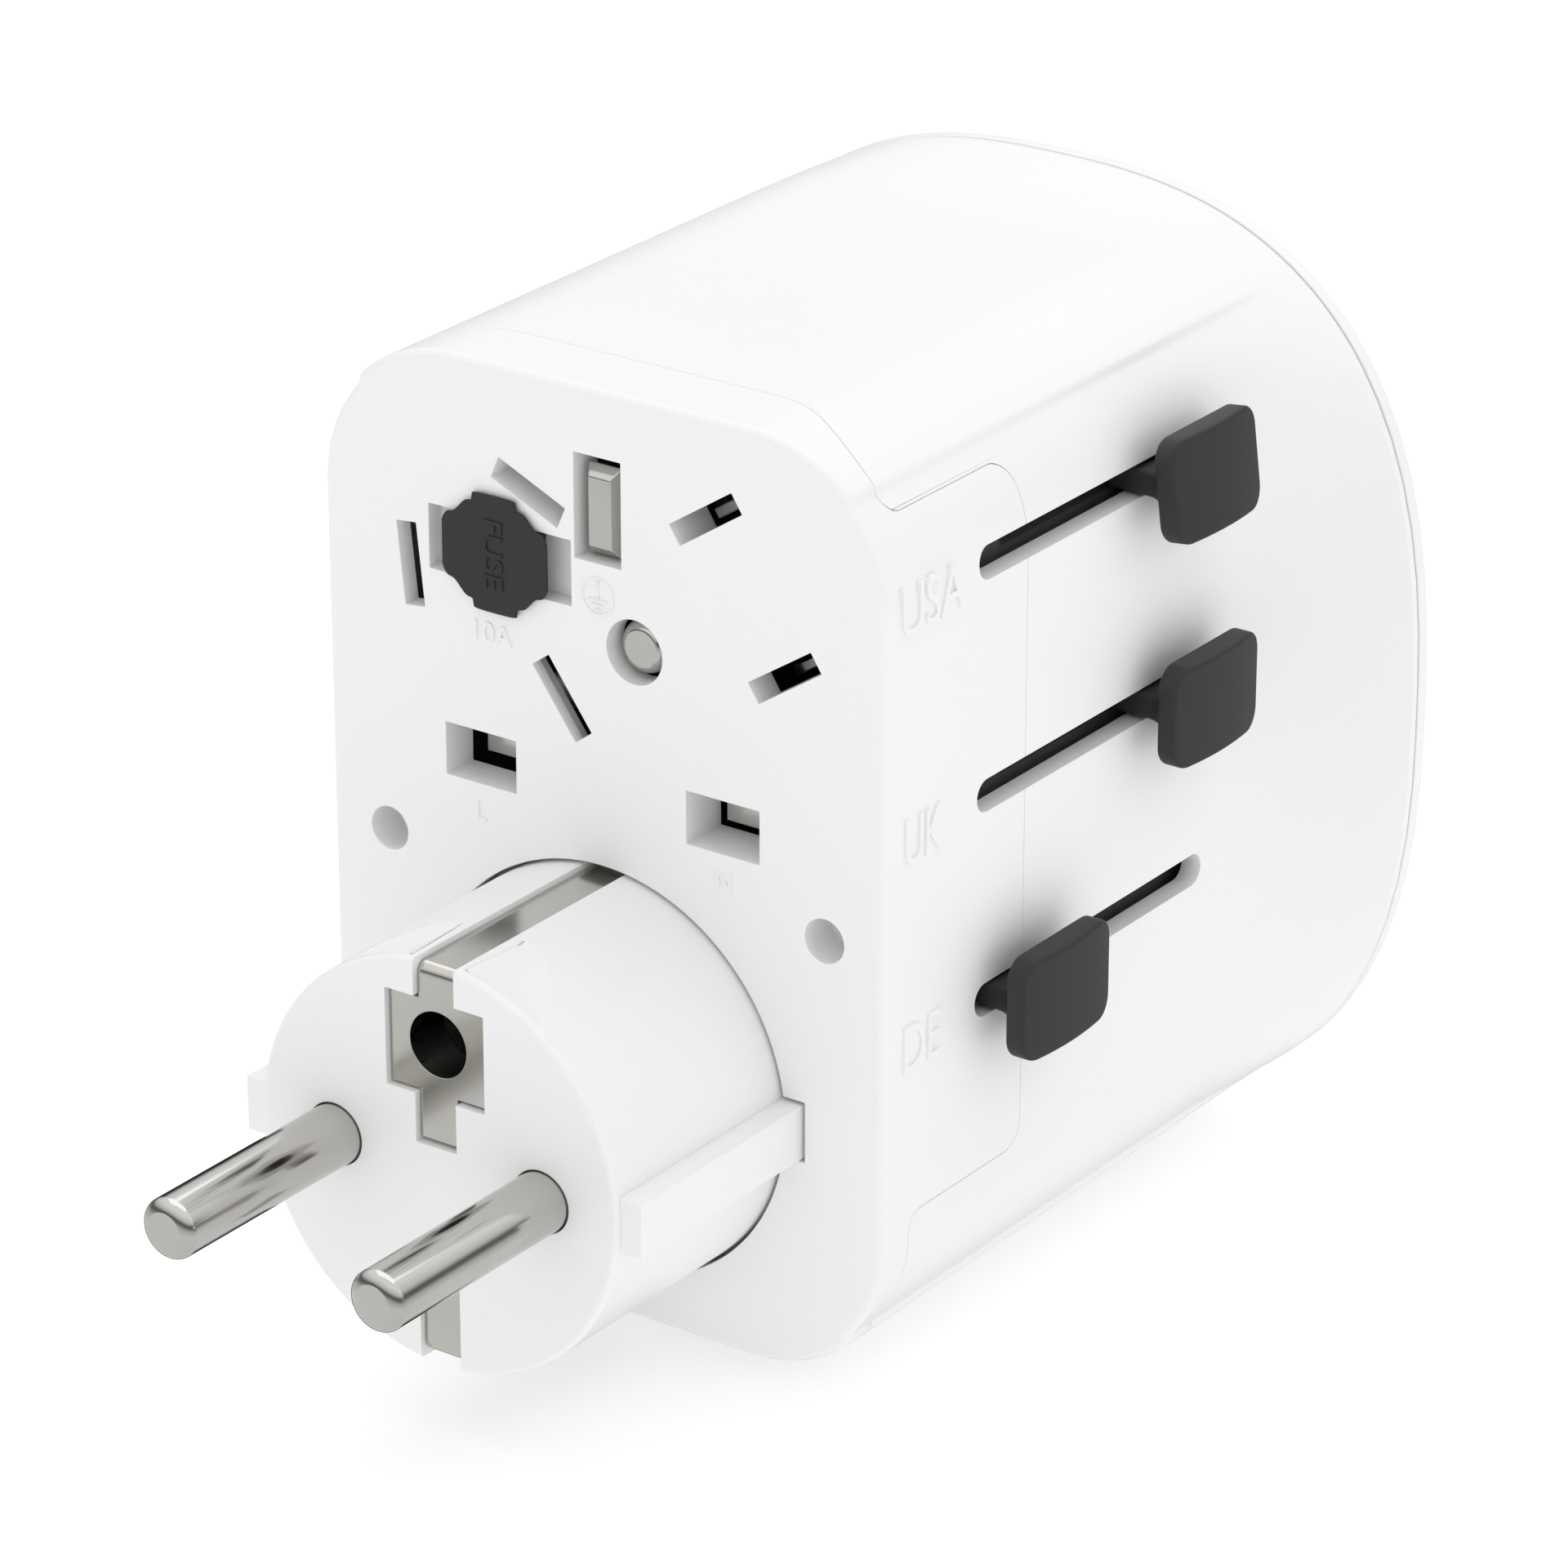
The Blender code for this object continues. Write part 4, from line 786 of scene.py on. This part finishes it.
def make_knob(node, body, side=1, tilt=0.0):
    """Crowned pad on a stem that widens into it, with the stem's arm inside the body."""
    low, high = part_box(node)
    centre = (0.0, (low.y + high.y) / 2, KNOB_Z[node])
    grid = knob_pad((high.y - low.y) / 2)
    if tilt:
        c, s = math.cos(tilt), math.sin(tilt)
        x, z = grid[..., 0] - KNOB_INNER, grid[..., 2].copy()
        grid[..., 0] = KNOB_INNER + x * c + z * s
        grid[..., 2] = z * c - x * s
    knob = skin(f"{node}_grip", grid)

    front, rear, arm_front, half = -4.3 * MM, 3.95 * MM, 1.65 * MM, 1.0 * MM
    neck = 26.3 * MM
    xs = np.linspace(22.8 * MM, KNOB_INNER + 0.4 * MM, 14)
    swell = np.clip((xs - neck) / (KNOB_INNER - neck), 0, 1) ** 2.2
    stem = np.stack([
        np.column_stack((np.full(24, x), rounded(
            (front - MM * g, -half - 0.7 * MM * g), (rear + 0.3 * MM * g, half + 0.7 * MM * g),
            0.35 * MM + 0.8 * MM * g, 5,
        )))
        for x, g in zip(xs, swell)
    ])
    join(knob, skin("stem", stem))
    arm = np.array(((arm_front, -half), (rear, -half), (rear, half), (arm_front, half)))
    join(knob, skin("arm", along_x(arm, (20.7 * MM, 23.4 * MM))))
    knob.data.transform(Matrix.Translation(centre))
    if side < 0:
        knob.data.transform(Matrix.Scale(-1, 4, (1, 0, 0)))
        knob.data.flip_normals()
    knob.data.update()
    return finished(knob, body, "charcoal_grip", node, turn=40)


# ---------------------------------------------------------------- pins

def make_flat_pin(node, body, size, turn, chamfer, shift=(0.0, 0.0)):
    """Rectangular pin: a frustum at the tip, then a straight bar, with softened edges.

    chamfer is how far the tip draws in on its two sides, and over what depth."""
    low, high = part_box(node)
    centre = np.add(face_place(node), shift)
    tip = np.subtract(size, np.multiply(2, chamfer[:2]))
    ys = (low.y, low.y + chamfer[2], high.y)
    grid = np.concatenate([
        along_y(rectangle(centre, shape, turn), (y,)) for y, shape in zip(ys, (tip, size, size))
    ])
    pin = skin(f"{node}_metal", grid)
    return finished(pin, body, "nickel", node, edge=0.10 * MM, turn=20, segments=3)


def make_round_nosed_blade(node, body, size, turn):
    """Flat blade whose nose is an arc: y = tip + R - sqrt(R^2 - u^2) across its width u."""
    (centre_x, centre_z), (wide, thick) = face_place(node), size
    low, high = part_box(node)
    arc = 4.2 * MM
    u = np.linspace(wide / 2, -wide / 2, 33)
    nose = np.stack((u, low.y + arc - np.sqrt(arc ** 2 - u ** 2)), axis=-1)
    outline = np.concatenate((nose, ((-wide / 2, high.y), (wide / 2, high.y))))
    half = np.array((-thick / 2, thick / 2))[:, None]
    c, s = math.cos(turn), math.sin(turn)
    grid = np.empty((2, len(outline), 3))
    grid[..., 0] = centre_x + outline[:, 0] * c - half * s
    grid[..., 1] = outline[:, 1]
    grid[..., 2] = centre_z + outline[:, 0] * s + half * c
    blade = skin(f"{node}_metal", grid)
    return finished(blade, body, "nickel", node, edge=0.15 * MM, turn=20, segments=3)


def make_round_pin(node, body, radius, flat, nose):
    """Round pin: a flat tip, then a shoulder that is the last part of an ellipse's quarter.

    From t0 to 90 degrees, r grows from the flat with sin t, and y from the tip with -cos t."""
    low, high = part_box(node)
    first = math.radians(34)
    t = np.linspace(first, np.pi / 2, 12)
    share = (np.sin(t) - math.sin(first)) / (1 - math.sin(first))
    fall = 1 - np.cos(t) / math.cos(first)
    soft = 0.07 * MM
    begin = flat + soft / 2
    shoulder = begin + (radius - begin) * share
    radii = np.concatenate(((flat * 0.02, flat * 0.6, flat - soft), shoulder, (radius,)))
    ys = np.concatenate(((low.y,) * 3, low.y + soft / 2 + nose * fall, (high.y,)))
    pin = revolve(f"{node}_metal", face_place(node), radii, ys, 96)
    return finished(pin, body, "nickel", node, turn=12)


def make_pins():
    square, thin = (1.0 * MM, 0.8 * MM, 1.4 * MM), (0.45 * MM, 0.37 * MM, 0.63 * MM)
    for node in ("uk_line_pin", "uk_neutral_pin"):
        make_flat_pin(node, "uk_plug", (6.35 * MM, 4.0 * MM), 0.0, square)
    make_flat_pin("uk_earth_pin", "uk_plug", (3.0 * MM, 7.0 * MM), 0.0,
                  (0.5 * MM, 0.8 * MM, 0.8 * MM), (-0.1 * MM, -0.35 * MM))
    for node in ("usa_line_blade", "usa_neutral_blade"):
        make_flat_pin(node, "usa_plug", (BLADE_WIDTH, US_THICK), US_TURN, thin)
    for node, slant in (("aus_line_blade", AUS_SLANT), ("aus_neutral_blade", -AUS_SLANT)):
        make_flat_pin(node, "aus_plug", (BLADE_WIDTH, AUS_THICK), AUS_TURN + slant, thin)
    make_round_nosed_blade("aus_earth_blade", "aus_plug", (BLADE_WIDTH, AUS_THICK), AUS_TURN)
    make_round_pin("usa_ground_pin", "usa_plug", 2.1 * MM, 1.5 * MM, 0.9 * MM)
    for node in ("schuko_pin_left", "schuko_pin_right"):
        make_round_pin(node, "schuko_pins", 2.4 * MM, 1.6 * MM, 0.85 * MM)


# ---------------------------------------------------------------- round plug block

STRIP_HALF = 1.7 * MM
WAY_HALF = 1.85 * MM
STRIP_DEPTH = 1.3 * MM
CROSS_HALF = 4.5 * MM
CROSS_LOW, CROSS_HIGH = -17.05 * MM, -9.3 * MM
TOP_STRIP_END = -21.0 * MM
BOTTOM_WAY_END = -31.0 * MM
EARTH_HOLE = (0.0, -12.9 * MM)
BLOCK_TOP = DE_CENTRE[1] + DE_RADIUS
BLOCK_BOTTOM = DE_CENTRE[1] - DE_RADIUS
BLOCK_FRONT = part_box("schuko_block")[0].y
BLOCK_RIM = 0.45 * MM
BLOCK_REAR = 4.0 * MM
RIB_REACH = 18.2 * MM
POCKET_FLOOR = BLOCK_FRONT + 1.2 * MM   # behind the flat of the earth strips
WAY_END = 2.6 * MM                      # rear end of the strips' ways


def scallop(side):
    """Finger grip behind the block's rim: the space above two planes that meet in a crease.

    With dx and dy measured from a start on the block's round side, the steep plane is
    dz = -0.585 dx + 0.024 dy and the shallow one dz = -0.174 dx + 0.235 dy."""
    x0, y0 = 2.75 * MM, BLOCK_FRONT + 7.35 * MM
    z0 = DE_CENTRE[1] + math.sqrt(DE_RADIUS ** 2 - x0 ** 2)
    rows = []
    rim = BLOCK_FRONT + 0.8 * MM
    for y, start, crease in ((rim, 2.4 * MM, 6.12 * MM), (y0, x0, x0 + 0.03 * MM)):
        x = np.array((start, crease, 12 * MM, 12 * MM, start))
        steep = z0 - 0.585 * (x - x0) + 0.024 * (y - y0)
        shallow = z0 - 0.174 * (x - x0) + 0.235 * (y - y0)
        z = np.where(x < crease, steep, shallow)
        z[3:] = z0 + 3 * MM
        rows.append(np.stack((side * x, np.full(5, y), z), axis=-1))
    return skin("scallop", np.array(rows))


def make_block():
    """Block turned about its axis, with ribs, flange and guide bar, hollow and open at the rear."""
    y, inset = round_over(BLOCK_FRONT, BLOCK_RIM, 12)
    ys = np.concatenate((y, (BLOCK_REAR,)))
    radii = np.concatenate((DE_RADIUS - inset, (DE_RADIUS,)))
    block = revolve("schuko_block_skin", DE_CENTRE, radii, ys, 192)
    rib_front = BLOCK_FRONT + BLOCK_RIM + 0.02 * MM
    join(block, box_between(
        "rib", (-RIB_REACH, rib_front, -24.9 * MM), (RIB_REACH, BLOCK_REAR, -20.5 * MM)
    ))
    flange = rounded((-18.9 * MM, -40.0 * MM), (18.9 * MM, -4.6 * MM), 8 * MM)
    join(block, skin("flange", along_y(flange, (2.8 * MM, 5.2 * MM))))
    join(block, box_between(
        "bar", (16 * MM, 2.8 * MM, -16.8 * MM), (20.4 * MM, 22.2 * MM, -13.2 * MM)
    ))
    front_wall = BLOCK_FRONT + 2.4 * MM
    cut(block, rod("hollow", DE_CENTRE, DE_RADIUS - WALL, (front_wall, 20 * MM), 128))
    for x0, x1 in ((2.4 * MM, 4.0 * MM), (-4.0 * MM, -2.4 * MM)):
        join(block, box_between("ear", (x0, 4.6 * MM, -38.6 * MM), (x1, 9.8 * MM, -28.4 * MM)))
    axle = middle("pinion_axle")
    axle_hole = circle((axle.y, axle.z), 0.95 * MM, 32)
    cut(block, skin("axle_hole", along_x(axle_hole, (-6 * MM, 6 * MM))))
    before, through = BLOCK_FRONT - MM, (BLOCK_FRONT - 5 * MM, BLOCK_FRONT + 5 * MM)
    pins = [face_place(node) for node in ("schuko_pin_left", "schuko_pin_right")]
    cut(block, merged([rod("hole", place, 2.5 * MM, through) for place in pins]))
    for half, low, end, high in (
        (WAY_HALF, BLOCK_TOP - STRIP_DEPTH, WAY_END, BLOCK_TOP + MM),
        (WAY_HALF, TOP_STRIP_END, POCKET_FLOOR, BLOCK_TOP),
        (CROSS_HALF, CROSS_LOW, POCKET_FLOOR, CROSS_HIGH),
        (WAY_HALF, BLOCK_BOTTOM - MM, WAY_END, BLOCK_BOTTOM + STRIP_DEPTH),
        (WAY_HALF, BLOCK_BOTTOM, POCKET_FLOOR, BOTTOM_WAY_END),
    ):
        cut(block, box_between("way", (-half, before, low), (half, end, high)))
    cut(block, rod("hole", EARTH_HOLE, 2.85 * MM, through))
    cut(block, scallop(1), scallop(-1))
    return finished(
        block, "schuko_plug", "white_plastic", "schuko_block", edge=0.06 * MM, turn=13
    )


def bent_strip(name, side, rear, end_z):
    """Sheet strip with one bend: rectangle (thickness by width) carried along a line, an arc, a line.

    side is 1 for the strip on top of the block and -1 for the one under it."""
    thin, lift, bend = 0.45 * MM, 0.3 * MM, 0.9 * MM
    level = BLOCK_TOP - STRIP_DEPTH + lift if side > 0 else BLOCK_BOTTOM + STRIP_DEPTH - lift
    face = POCKET_FLOOR - lift - thin
    t = np.radians(np.linspace(0, 90, 10))
    arc = np.stack((-np.sin(t), side * np.cos(t)), axis=-1)
    centre = np.array((face + bend, level + side * (thin - bend)))
    outer, inner = centre + bend * arc, centre + (bend - thin) * arc
    outline = np.concatenate((
        ((rear, level + side * thin),), outer, ((face, end_z), (face + thin, end_z)),
        inner[::-1], ((rear, level),),
    ))
    return skin(name, along_x(outline, (-STRIP_HALF, STRIP_HALF))), face, thin


def make_strips():
    top, face, thin = bent_strip("earth_strip_top_metal", 1, 2.3 * MM, TOP_STRIP_END + 0.3 * MM)
    wide, slack = CROSS_HALF - 0.2 * MM, 0.2 * MM
    join(top, box_between(
        "cross", (-wide, face, CROSS_LOW + slack), (wide, face + thin, CROSS_HIGH - slack)
    ))
    join(top, rod("sleeve", EARTH_HOLE, 2.76 * MM, (face + thin / 2, face + 4 * MM)))
    cut(top, rod("hole", EARTH_HOLE, 2.58 * MM, (face - 2 * MM, face + 5 * MM)))
    lower, _, _ = bent_strip("earth_strip_bottom_metal", -1, 2.3 * MM, BOTTOM_WAY_END - 0.3 * MM)
    for strip, node in ((top, "schuko_earth_strip_top"), (lower, "schuko_earth_strip_bottom")):
        finished(strip, "schuko_plug", "nickel_strip", node, edge=0.06 * MM, turn=50)


# ---------------------------------------------------------------- fuse

def fuse_cap_outline(at, inset=0.0):
    """Cap with four blunt lobes: a closed Catmull-Rom curve through one quarter and its mirrors.

    The inset moves each point in along its normal, a quarter turn from the curve's direction."""
    quarter = np.array((
        (4.85, 1.2), (4.8, 1.9), (4.4, 2.5), (3.7, 2.75),
        (2.75, 3.7), (2.1, 3.9), (2.0, 4.3), (1.6, 4.6),
    )) * MM
    half = np.concatenate((quarter, (quarter * (-1, 1))[::-1]))
    p1 = np.concatenate((half, (half * (1, -1))[::-1]))
    p0, p2, p3 = (np.roll(p1, -step, axis=0) for step in (-1, 1, 2))
    t = np.linspace(0, 1, 4, endpoint=False)[:, None, None]
    curve = 0.5 * (2 * p1 + (p2 - p0) * t + (2 * p0 - 5 * p1 + 4 * p2 - p3) * t ** 2
                   + (3 * p1 - p0 - 3 * p2 + p3) * t ** 3)
    curve = curve.transpose(1, 0, 2).reshape(-1, 2)
    ahead = np.roll(curve, -1, axis=0) - np.roll(curve, 1, axis=0)
    normal = np.stack((ahead[:, 1], -ahead[:, 0]), axis=-1)
    normal /= np.linalg.norm(normal, axis=1, keepdims=True)
    return curve - normal * inset + at


def make_fuse():
    """Flat-faced cap with a softened edge, its neck in the recess, and the cartridge behind it."""
    at = face_place("fuse_cartridge")
    low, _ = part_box("fuse_cap")
    y, inset = round_over(low.y, 0.12 * MM, 3)
    rows = [along_y(fuse_cap_outline(at, i), (v,)) for v, i in zip(y, inset)]
    rows.append(along_y(fuse_cap_outline(at), (-0.3 * MM,)))
    cap = skin("fuse_cap_grip", np.concatenate(rows))
    neck, reach = 2.0 * MM, 3.5 * MM
    join(cap, box_between(
        "neck", (at[0] - reach, -0.35 * MM, at[1] - neck), (at[0] + reach, 1.3 * MM, at[1] + neck)
    ))
    join(cap, rod("plug", at, 2.6 * MM, (1 * MM, 3.6 * MM), 48))
    finished(cap, "fuse", "charcoal_grip", "fuse_cap", turn=15)
    for node, slot_name, edge in (
        ("fuse_cartridge", "ceramic", 0.05 * MM),
        ("fuse_end_front", "nickel", 0.25 * MM),
        ("fuse_end_rear", "nickel", 0.25 * MM),
    ):
        low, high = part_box(node)
        radius = (high.x - low.x) / 2
        y, inset = round_over(0.0, edge, 5)
        ys = np.concatenate((low.y + y, high.y - y[::-1]))
        radii = radius - np.concatenate((inset, inset[::-1]))
        body = revolve(f"{node}_turned", at, radii, ys, 64)
        finished(body, "fuse", slot_name, node, turn=45)


def make_spring():
    """Wire circle carried along a helix: radius and pitch steady, closed ends."""
    low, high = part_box("shutter_spring")
    at = middle("shutter_spring")
    wire = 0.16 * MM
    radius = (high.x - low.x) / 2 - wire
    turns, steps, sides = 9, 9 * 28, 10
    t = np.linspace(0, 2 * np.pi * turns, steps + 1)
    rise = np.linspace(low.z + wire, high.z - wire, steps + 1)
    path = np.stack((at.x + radius * np.cos(t), at.y + radius * np.sin(t), rise), axis=-1)
    out = np.stack((np.cos(t), np.sin(t), np.zeros_like(t)), axis=-1)
    along = np.gradient(path, axis=0)
    along /= np.linalg.norm(along, axis=1, keepdims=True)
    lift = np.cross(along, out)
    a = np.linspace(0, 2 * np.pi, sides, endpoint=False)
    grid = path[:, None] + wire * (
        out[:, None] * np.cos(a)[None, :, None] + lift[:, None] * np.sin(a)[None, :, None]
    )
    spring = skin("shutter_spring_wire", grid)
    finished(spring, "housing", "steel", "shutter_spring", turn=60)
    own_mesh(spring)


# ---------------------------------------------------------------- raised markings

FRONT_VIEW = Matrix(((1, 0, 0), (0, 0, -1), (0, 1, 0)))     # reads along X, faces -Y
RIGHT_VIEW = Matrix(((0, 0, 1), (1, 0, 0), (0, 1, 0)))      # reads along Y, faces X
LEFT_VIEW = Matrix(((0, 0, -1), (-1, 0, 0), (0, 1, 0)))     # reads along -Y, faces -X
CAP_VIEW = Matrix(((0, 1, 0), (0, 0, -1), (-1, 0, 0)))      # reads down Z, faces -Y


def make_lettering(name, text, size, place, view, rise, body="housing", slot_name="white_plastic"):
    """Raised letters: text extruded by its rise, fitted to a (width, height), then placed."""
    curve = bpy.data.curves.new(name, "FONT")
    curve.body = text
    curve.resolution_u = 8
    curve.extrude = 0.5
    holder = in_scene(name, curve)
    bpy.context.view_layer.update()
    evaluated = holder.evaluated_get(bpy.context.evaluated_depsgraph_get())
    mesh = bpy.data.meshes.new_from_object(evaluated)
    bpy.data.objects.remove(holder, do_unlink=True)
    points = np.empty(len(mesh.vertices) * 3)
    mesh.vertices.foreach_get("co", points)
    points = points.reshape(-1, 3)
    low, high = points.min(axis=0), points.max(axis=0)
    points = (points - (low + high) / 2) / (high - low) * np.array((*size, 2 * rise))
    points = points @ np.array(view).T + np.asarray(place)
    mesh.vertices.foreach_set("co", points.ravel())
    mesh.update()
    shape = bmesh.new()
    shape.from_mesh(mesh)
    bmesh.ops.remove_doubles(shape, verts=shape.verts, dist=1e-7)
    bmesh.ops.recalc_face_normals(shape, faces=shape.faces)
    shape.to_mesh(mesh)
    shape.free()
    return finished(in_scene(name, mesh), body, slot_name, turn=30)


def make_earth_mark(centre, rise):
    """Ring with a post and three bars that shorten downwards, all raised from the face."""
    outer, line = 1.5 * MM, 0.16 * MM
    t = np.linspace(0, 2 * np.pi, 64, endpoint=False)
    radii = np.array((outer, outer, outer - line, outer - line))
    grid = np.empty((64, 4, 3))
    grid[..., 0] = centre[0] + radii * np.cos(t)[:, None]
    grid[..., 1] = FACE_Y + rise * np.array((1, -1, -1, 1))
    grid[..., 2] = centre[1] + radii * np.sin(t)[:, None]
    a = np.arange(64)[:, None]
    b = (a + 1) % 64
    k = np.arange(4)
    m = (k + 1) % 4
    quads = np.stack((a * 4 + k, a * 4 + m, b * 4 + m, b * 4 + k), axis=-1)
    ring = closed_mesh("earth_mark", grid.reshape(-1, 3), quads.reshape(-1, 4).tolist())
    bars = [(0.0, 0.45 * MM, line, 1.5 * MM)]
    bars += [(0.0, z * MM, w * MM, line) for z, w in ((-0.3, 1.7), (-0.68, 1.15), (-1.05, 0.6))]
    tools = [
        box_between(
            "bar",
            (centre[0] + x - w / 2, FACE_Y - rise, centre[1] + z - h / 2),
            (centre[0] + x + w / 2, FACE_Y + rise, centre[1] + z + h / 2),
        )
        for x, z, w, h in bars
    ]
    merged([ring] + tools)
    return finished(ring, "housing", "white_plastic", edge=0.03 * MM, turn=50, segments=1)


def make_markings():
    """Generic markings: country codes beside the sliders, line, neutral, earth and the fuse."""
    for text, width, y, z, view, side in (
        ("USA", 7.7 * MM, 5.75 * MM, 19.5 * MM, RIGHT_VIEW, 1),
        ("UK", 4.7 * MM, 4.8 * MM, 1.5 * MM, RIGHT_VIEW, 1),
        ("DE", 4.7 * MM, 4.8 * MM, -15.0 * MM, RIGHT_VIEW, 1),
        ("AUS", 7.7 * MM, 5.75 * MM, 9.0 * MM, LEFT_VIEW, -1),
    ):
        name, place = f"marking_{text.lower()}", (side * HALF_WIDTH, y, z)
        make_lettering(name, text, (width, 3.7 * MM), place, view, 0.2 * MM)
    rise = 0.14 * MM
    for name, text, size, x, z in (
        ("marking_line", "L", (0.95 * MM, 1.45 * MM), -11.1 * MM, -4.3 * MM),
        ("marking_neutral", "N", (1.2 * MM, 1.45 * MM), 11.25 * MM, -4.15 * MM),
        ("marking_fuse_rating", "10A", (3.5 * MM, 1.6 * MM), -9.7 * MM, 10.35 * MM),
    ):
        make_lettering(name, text, size, (x, FACE_Y, z), FRONT_VIEW, rise)
    make_earth_mark((0.0, 15.56 * MM), rise)
    x, z = face_place("fuse_cartridge")
    cap_face = (x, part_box("fuse_cap")[0].y, z)
    make_lettering("marking_fuse", "FUSE", (5.4 * MM, 1.7 * MM), cap_face, CAP_VIEW, 0.1 * MM,
                   "fuse", "charcoal_grip")


dress_frame()
make_body()
make_rear_plate()
make_socket_face()
make_knob("usa_knob", "usa_plug", tilt=math.radians(-7))
make_knob("uk_knob", "uk_plug")
make_knob("de_knob", "schuko_plug")
make_knob("aus_knob", "aus_plug", side=-1)
make_pins()
make_block()
make_strips()
make_fuse()
make_spring()
make_markings()

# ---------------------------------------------------------------- stage, light and camera

DARK_CARD = (-0.53, 0.75, -0.40)   # behind the object and below it


def make_stage():
    """Plain pale floor under the object."""
    half = 4.0
    z = cad_low.z - 0.2 * MM
    points = np.array(((-half, -half, z), (half, -half, z), (half, half, z), (-half, half, z)))
    mesh = bpy.data.meshes.new("floor")
    mesh.from_pydata(points.tolist(), [], [(0, 1, 2, 3)])
    floor = in_scene("floor", mesh)
    finish = Finish("floor_paper", Roughness=0.9, Emission_Strength=0.35)
    finish.shader.inputs["Emission Color"].default_value = (1, 1, 1, 1)
    paper = finish.noise(finish.place(), 30.0, 2.0)
    finish.drive("Base Color", finish.colours(paper, (0.76, 0.76, 0.76), (0.78, 0.78, 0.78)))
    mesh.materials.append(finish.material)
    floor.visible_glossy = False


def soft_light(name, place, target, size, power):
    lamp = bpy.data.lights.new(name, "AREA")
    lamp.shape = "RECTANGLE"
    lamp.size, lamp.size_y = size
    lamp.energy = power
    obj = in_scene(name, lamp)
    obj.location = place
    away = Vector(place) - Vector(target)
    obj.rotation_euler = away.to_track_quat("Z", "Y").to_euler()


def make_light():
    """Even white room for the plastic; what shines sees soft bright windows and one dark card.

    Seen in a reflection, brightness follows the height of the direction, and falls to the card's
    where the direction's dot product with the card's own is near 1."""
    world = bpy.data.worlds.new("studio")
    bpy.context.scene.world = world
    world.use_nodes = True
    world.node_tree.nodes.clear()
    room = Graph(world.node_tree)
    direction = room.node("ShaderNodeTexCoord", output="Generated")
    height = room.node("ShaderNodeSeparateXYZ", {}, {0: direction}, "Z") * 0.5 + 0.5
    windows = room.node("ShaderNodeValToRGB", {"greys": (
        (0.0, 0.85), (0.3, 0.9), (0.44, 0.6), (0.5, 0.2), (0.57, 0.14), (0.66, 0.8), (0.82, 1.15),
    )}, {0: height})
    nearness = room.node(
        "ShaderNodeVectorMath", {"operation": "DOT_PRODUCT"}, {0: direction, 1: DARK_CARD}, "Value"
    )
    card = room.node("ShaderNodeValToRGB", {"greys": ((0.78, 1.0), (0.9, 0.04))}, {0: nearness})
    seen = room.node("ShaderNodeMix", {"data_type": "RGBA", "blend_type": "MULTIPLY"},
                     {0: 1.0, 6: windows, 7: card}, 2)
    shine = room.node("ShaderNodeBackground", {}, {"Color": seen, "Strength": 1.0})
    even = room.node("ShaderNodeBackground", {}, {"Color": (1, 1, 1, 1), "Strength": 0.89})
    glossy = room.node("ShaderNodeLightPath", output="Is Glossy Ray")
    blend = room.node("ShaderNodeMixShader", {}, {0: glossy, 1: even, 2: shine})
    room.node("ShaderNodeOutputWorld", {}, {"Surface": blend})
    centre = (0.0, 0.01, -0.005)
    soft_light("top_box", (-0.1, 0.3, 1.1), centre, (1.4, 1.4), 4.0)
    soft_light("side_box", (1.1, 0.2, 0.3), centre, (0.8, 0.8), 0.3)


def make_camera():
    """Long lens from the front right, above the plug face."""
    azimuth, elevation = math.radians(35.52), math.radians(23.56)
    camera = bpy.data.cameras.new("camera")
    camera.lens = 157.8
    camera.sensor_width = 36.0
    camera.clip_start = 0.02
    camera.clip_end = 30.0
    obj = in_scene("camera", camera)
    back = Vector((
        math.sin(azimuth) * math.cos(elevation),
        -math.cos(azimuth) * math.cos(elevation),
        math.sin(elevation),
    ))
    right = Vector((math.cos(azimuth), math.sin(azimuth), 0.0))
    up = back.cross(right)
    turn = Matrix((right, up, back)).transposed()
    obj.matrix_world = Matrix.Translation((0.28038, -0.36950, 0.20285)) @ turn.to_4x4()
    bpy.context.scene.camera = obj
    bpy.context.scene.view_settings.view_transform = "Standard"


make_stage()
make_light()
make_camera()
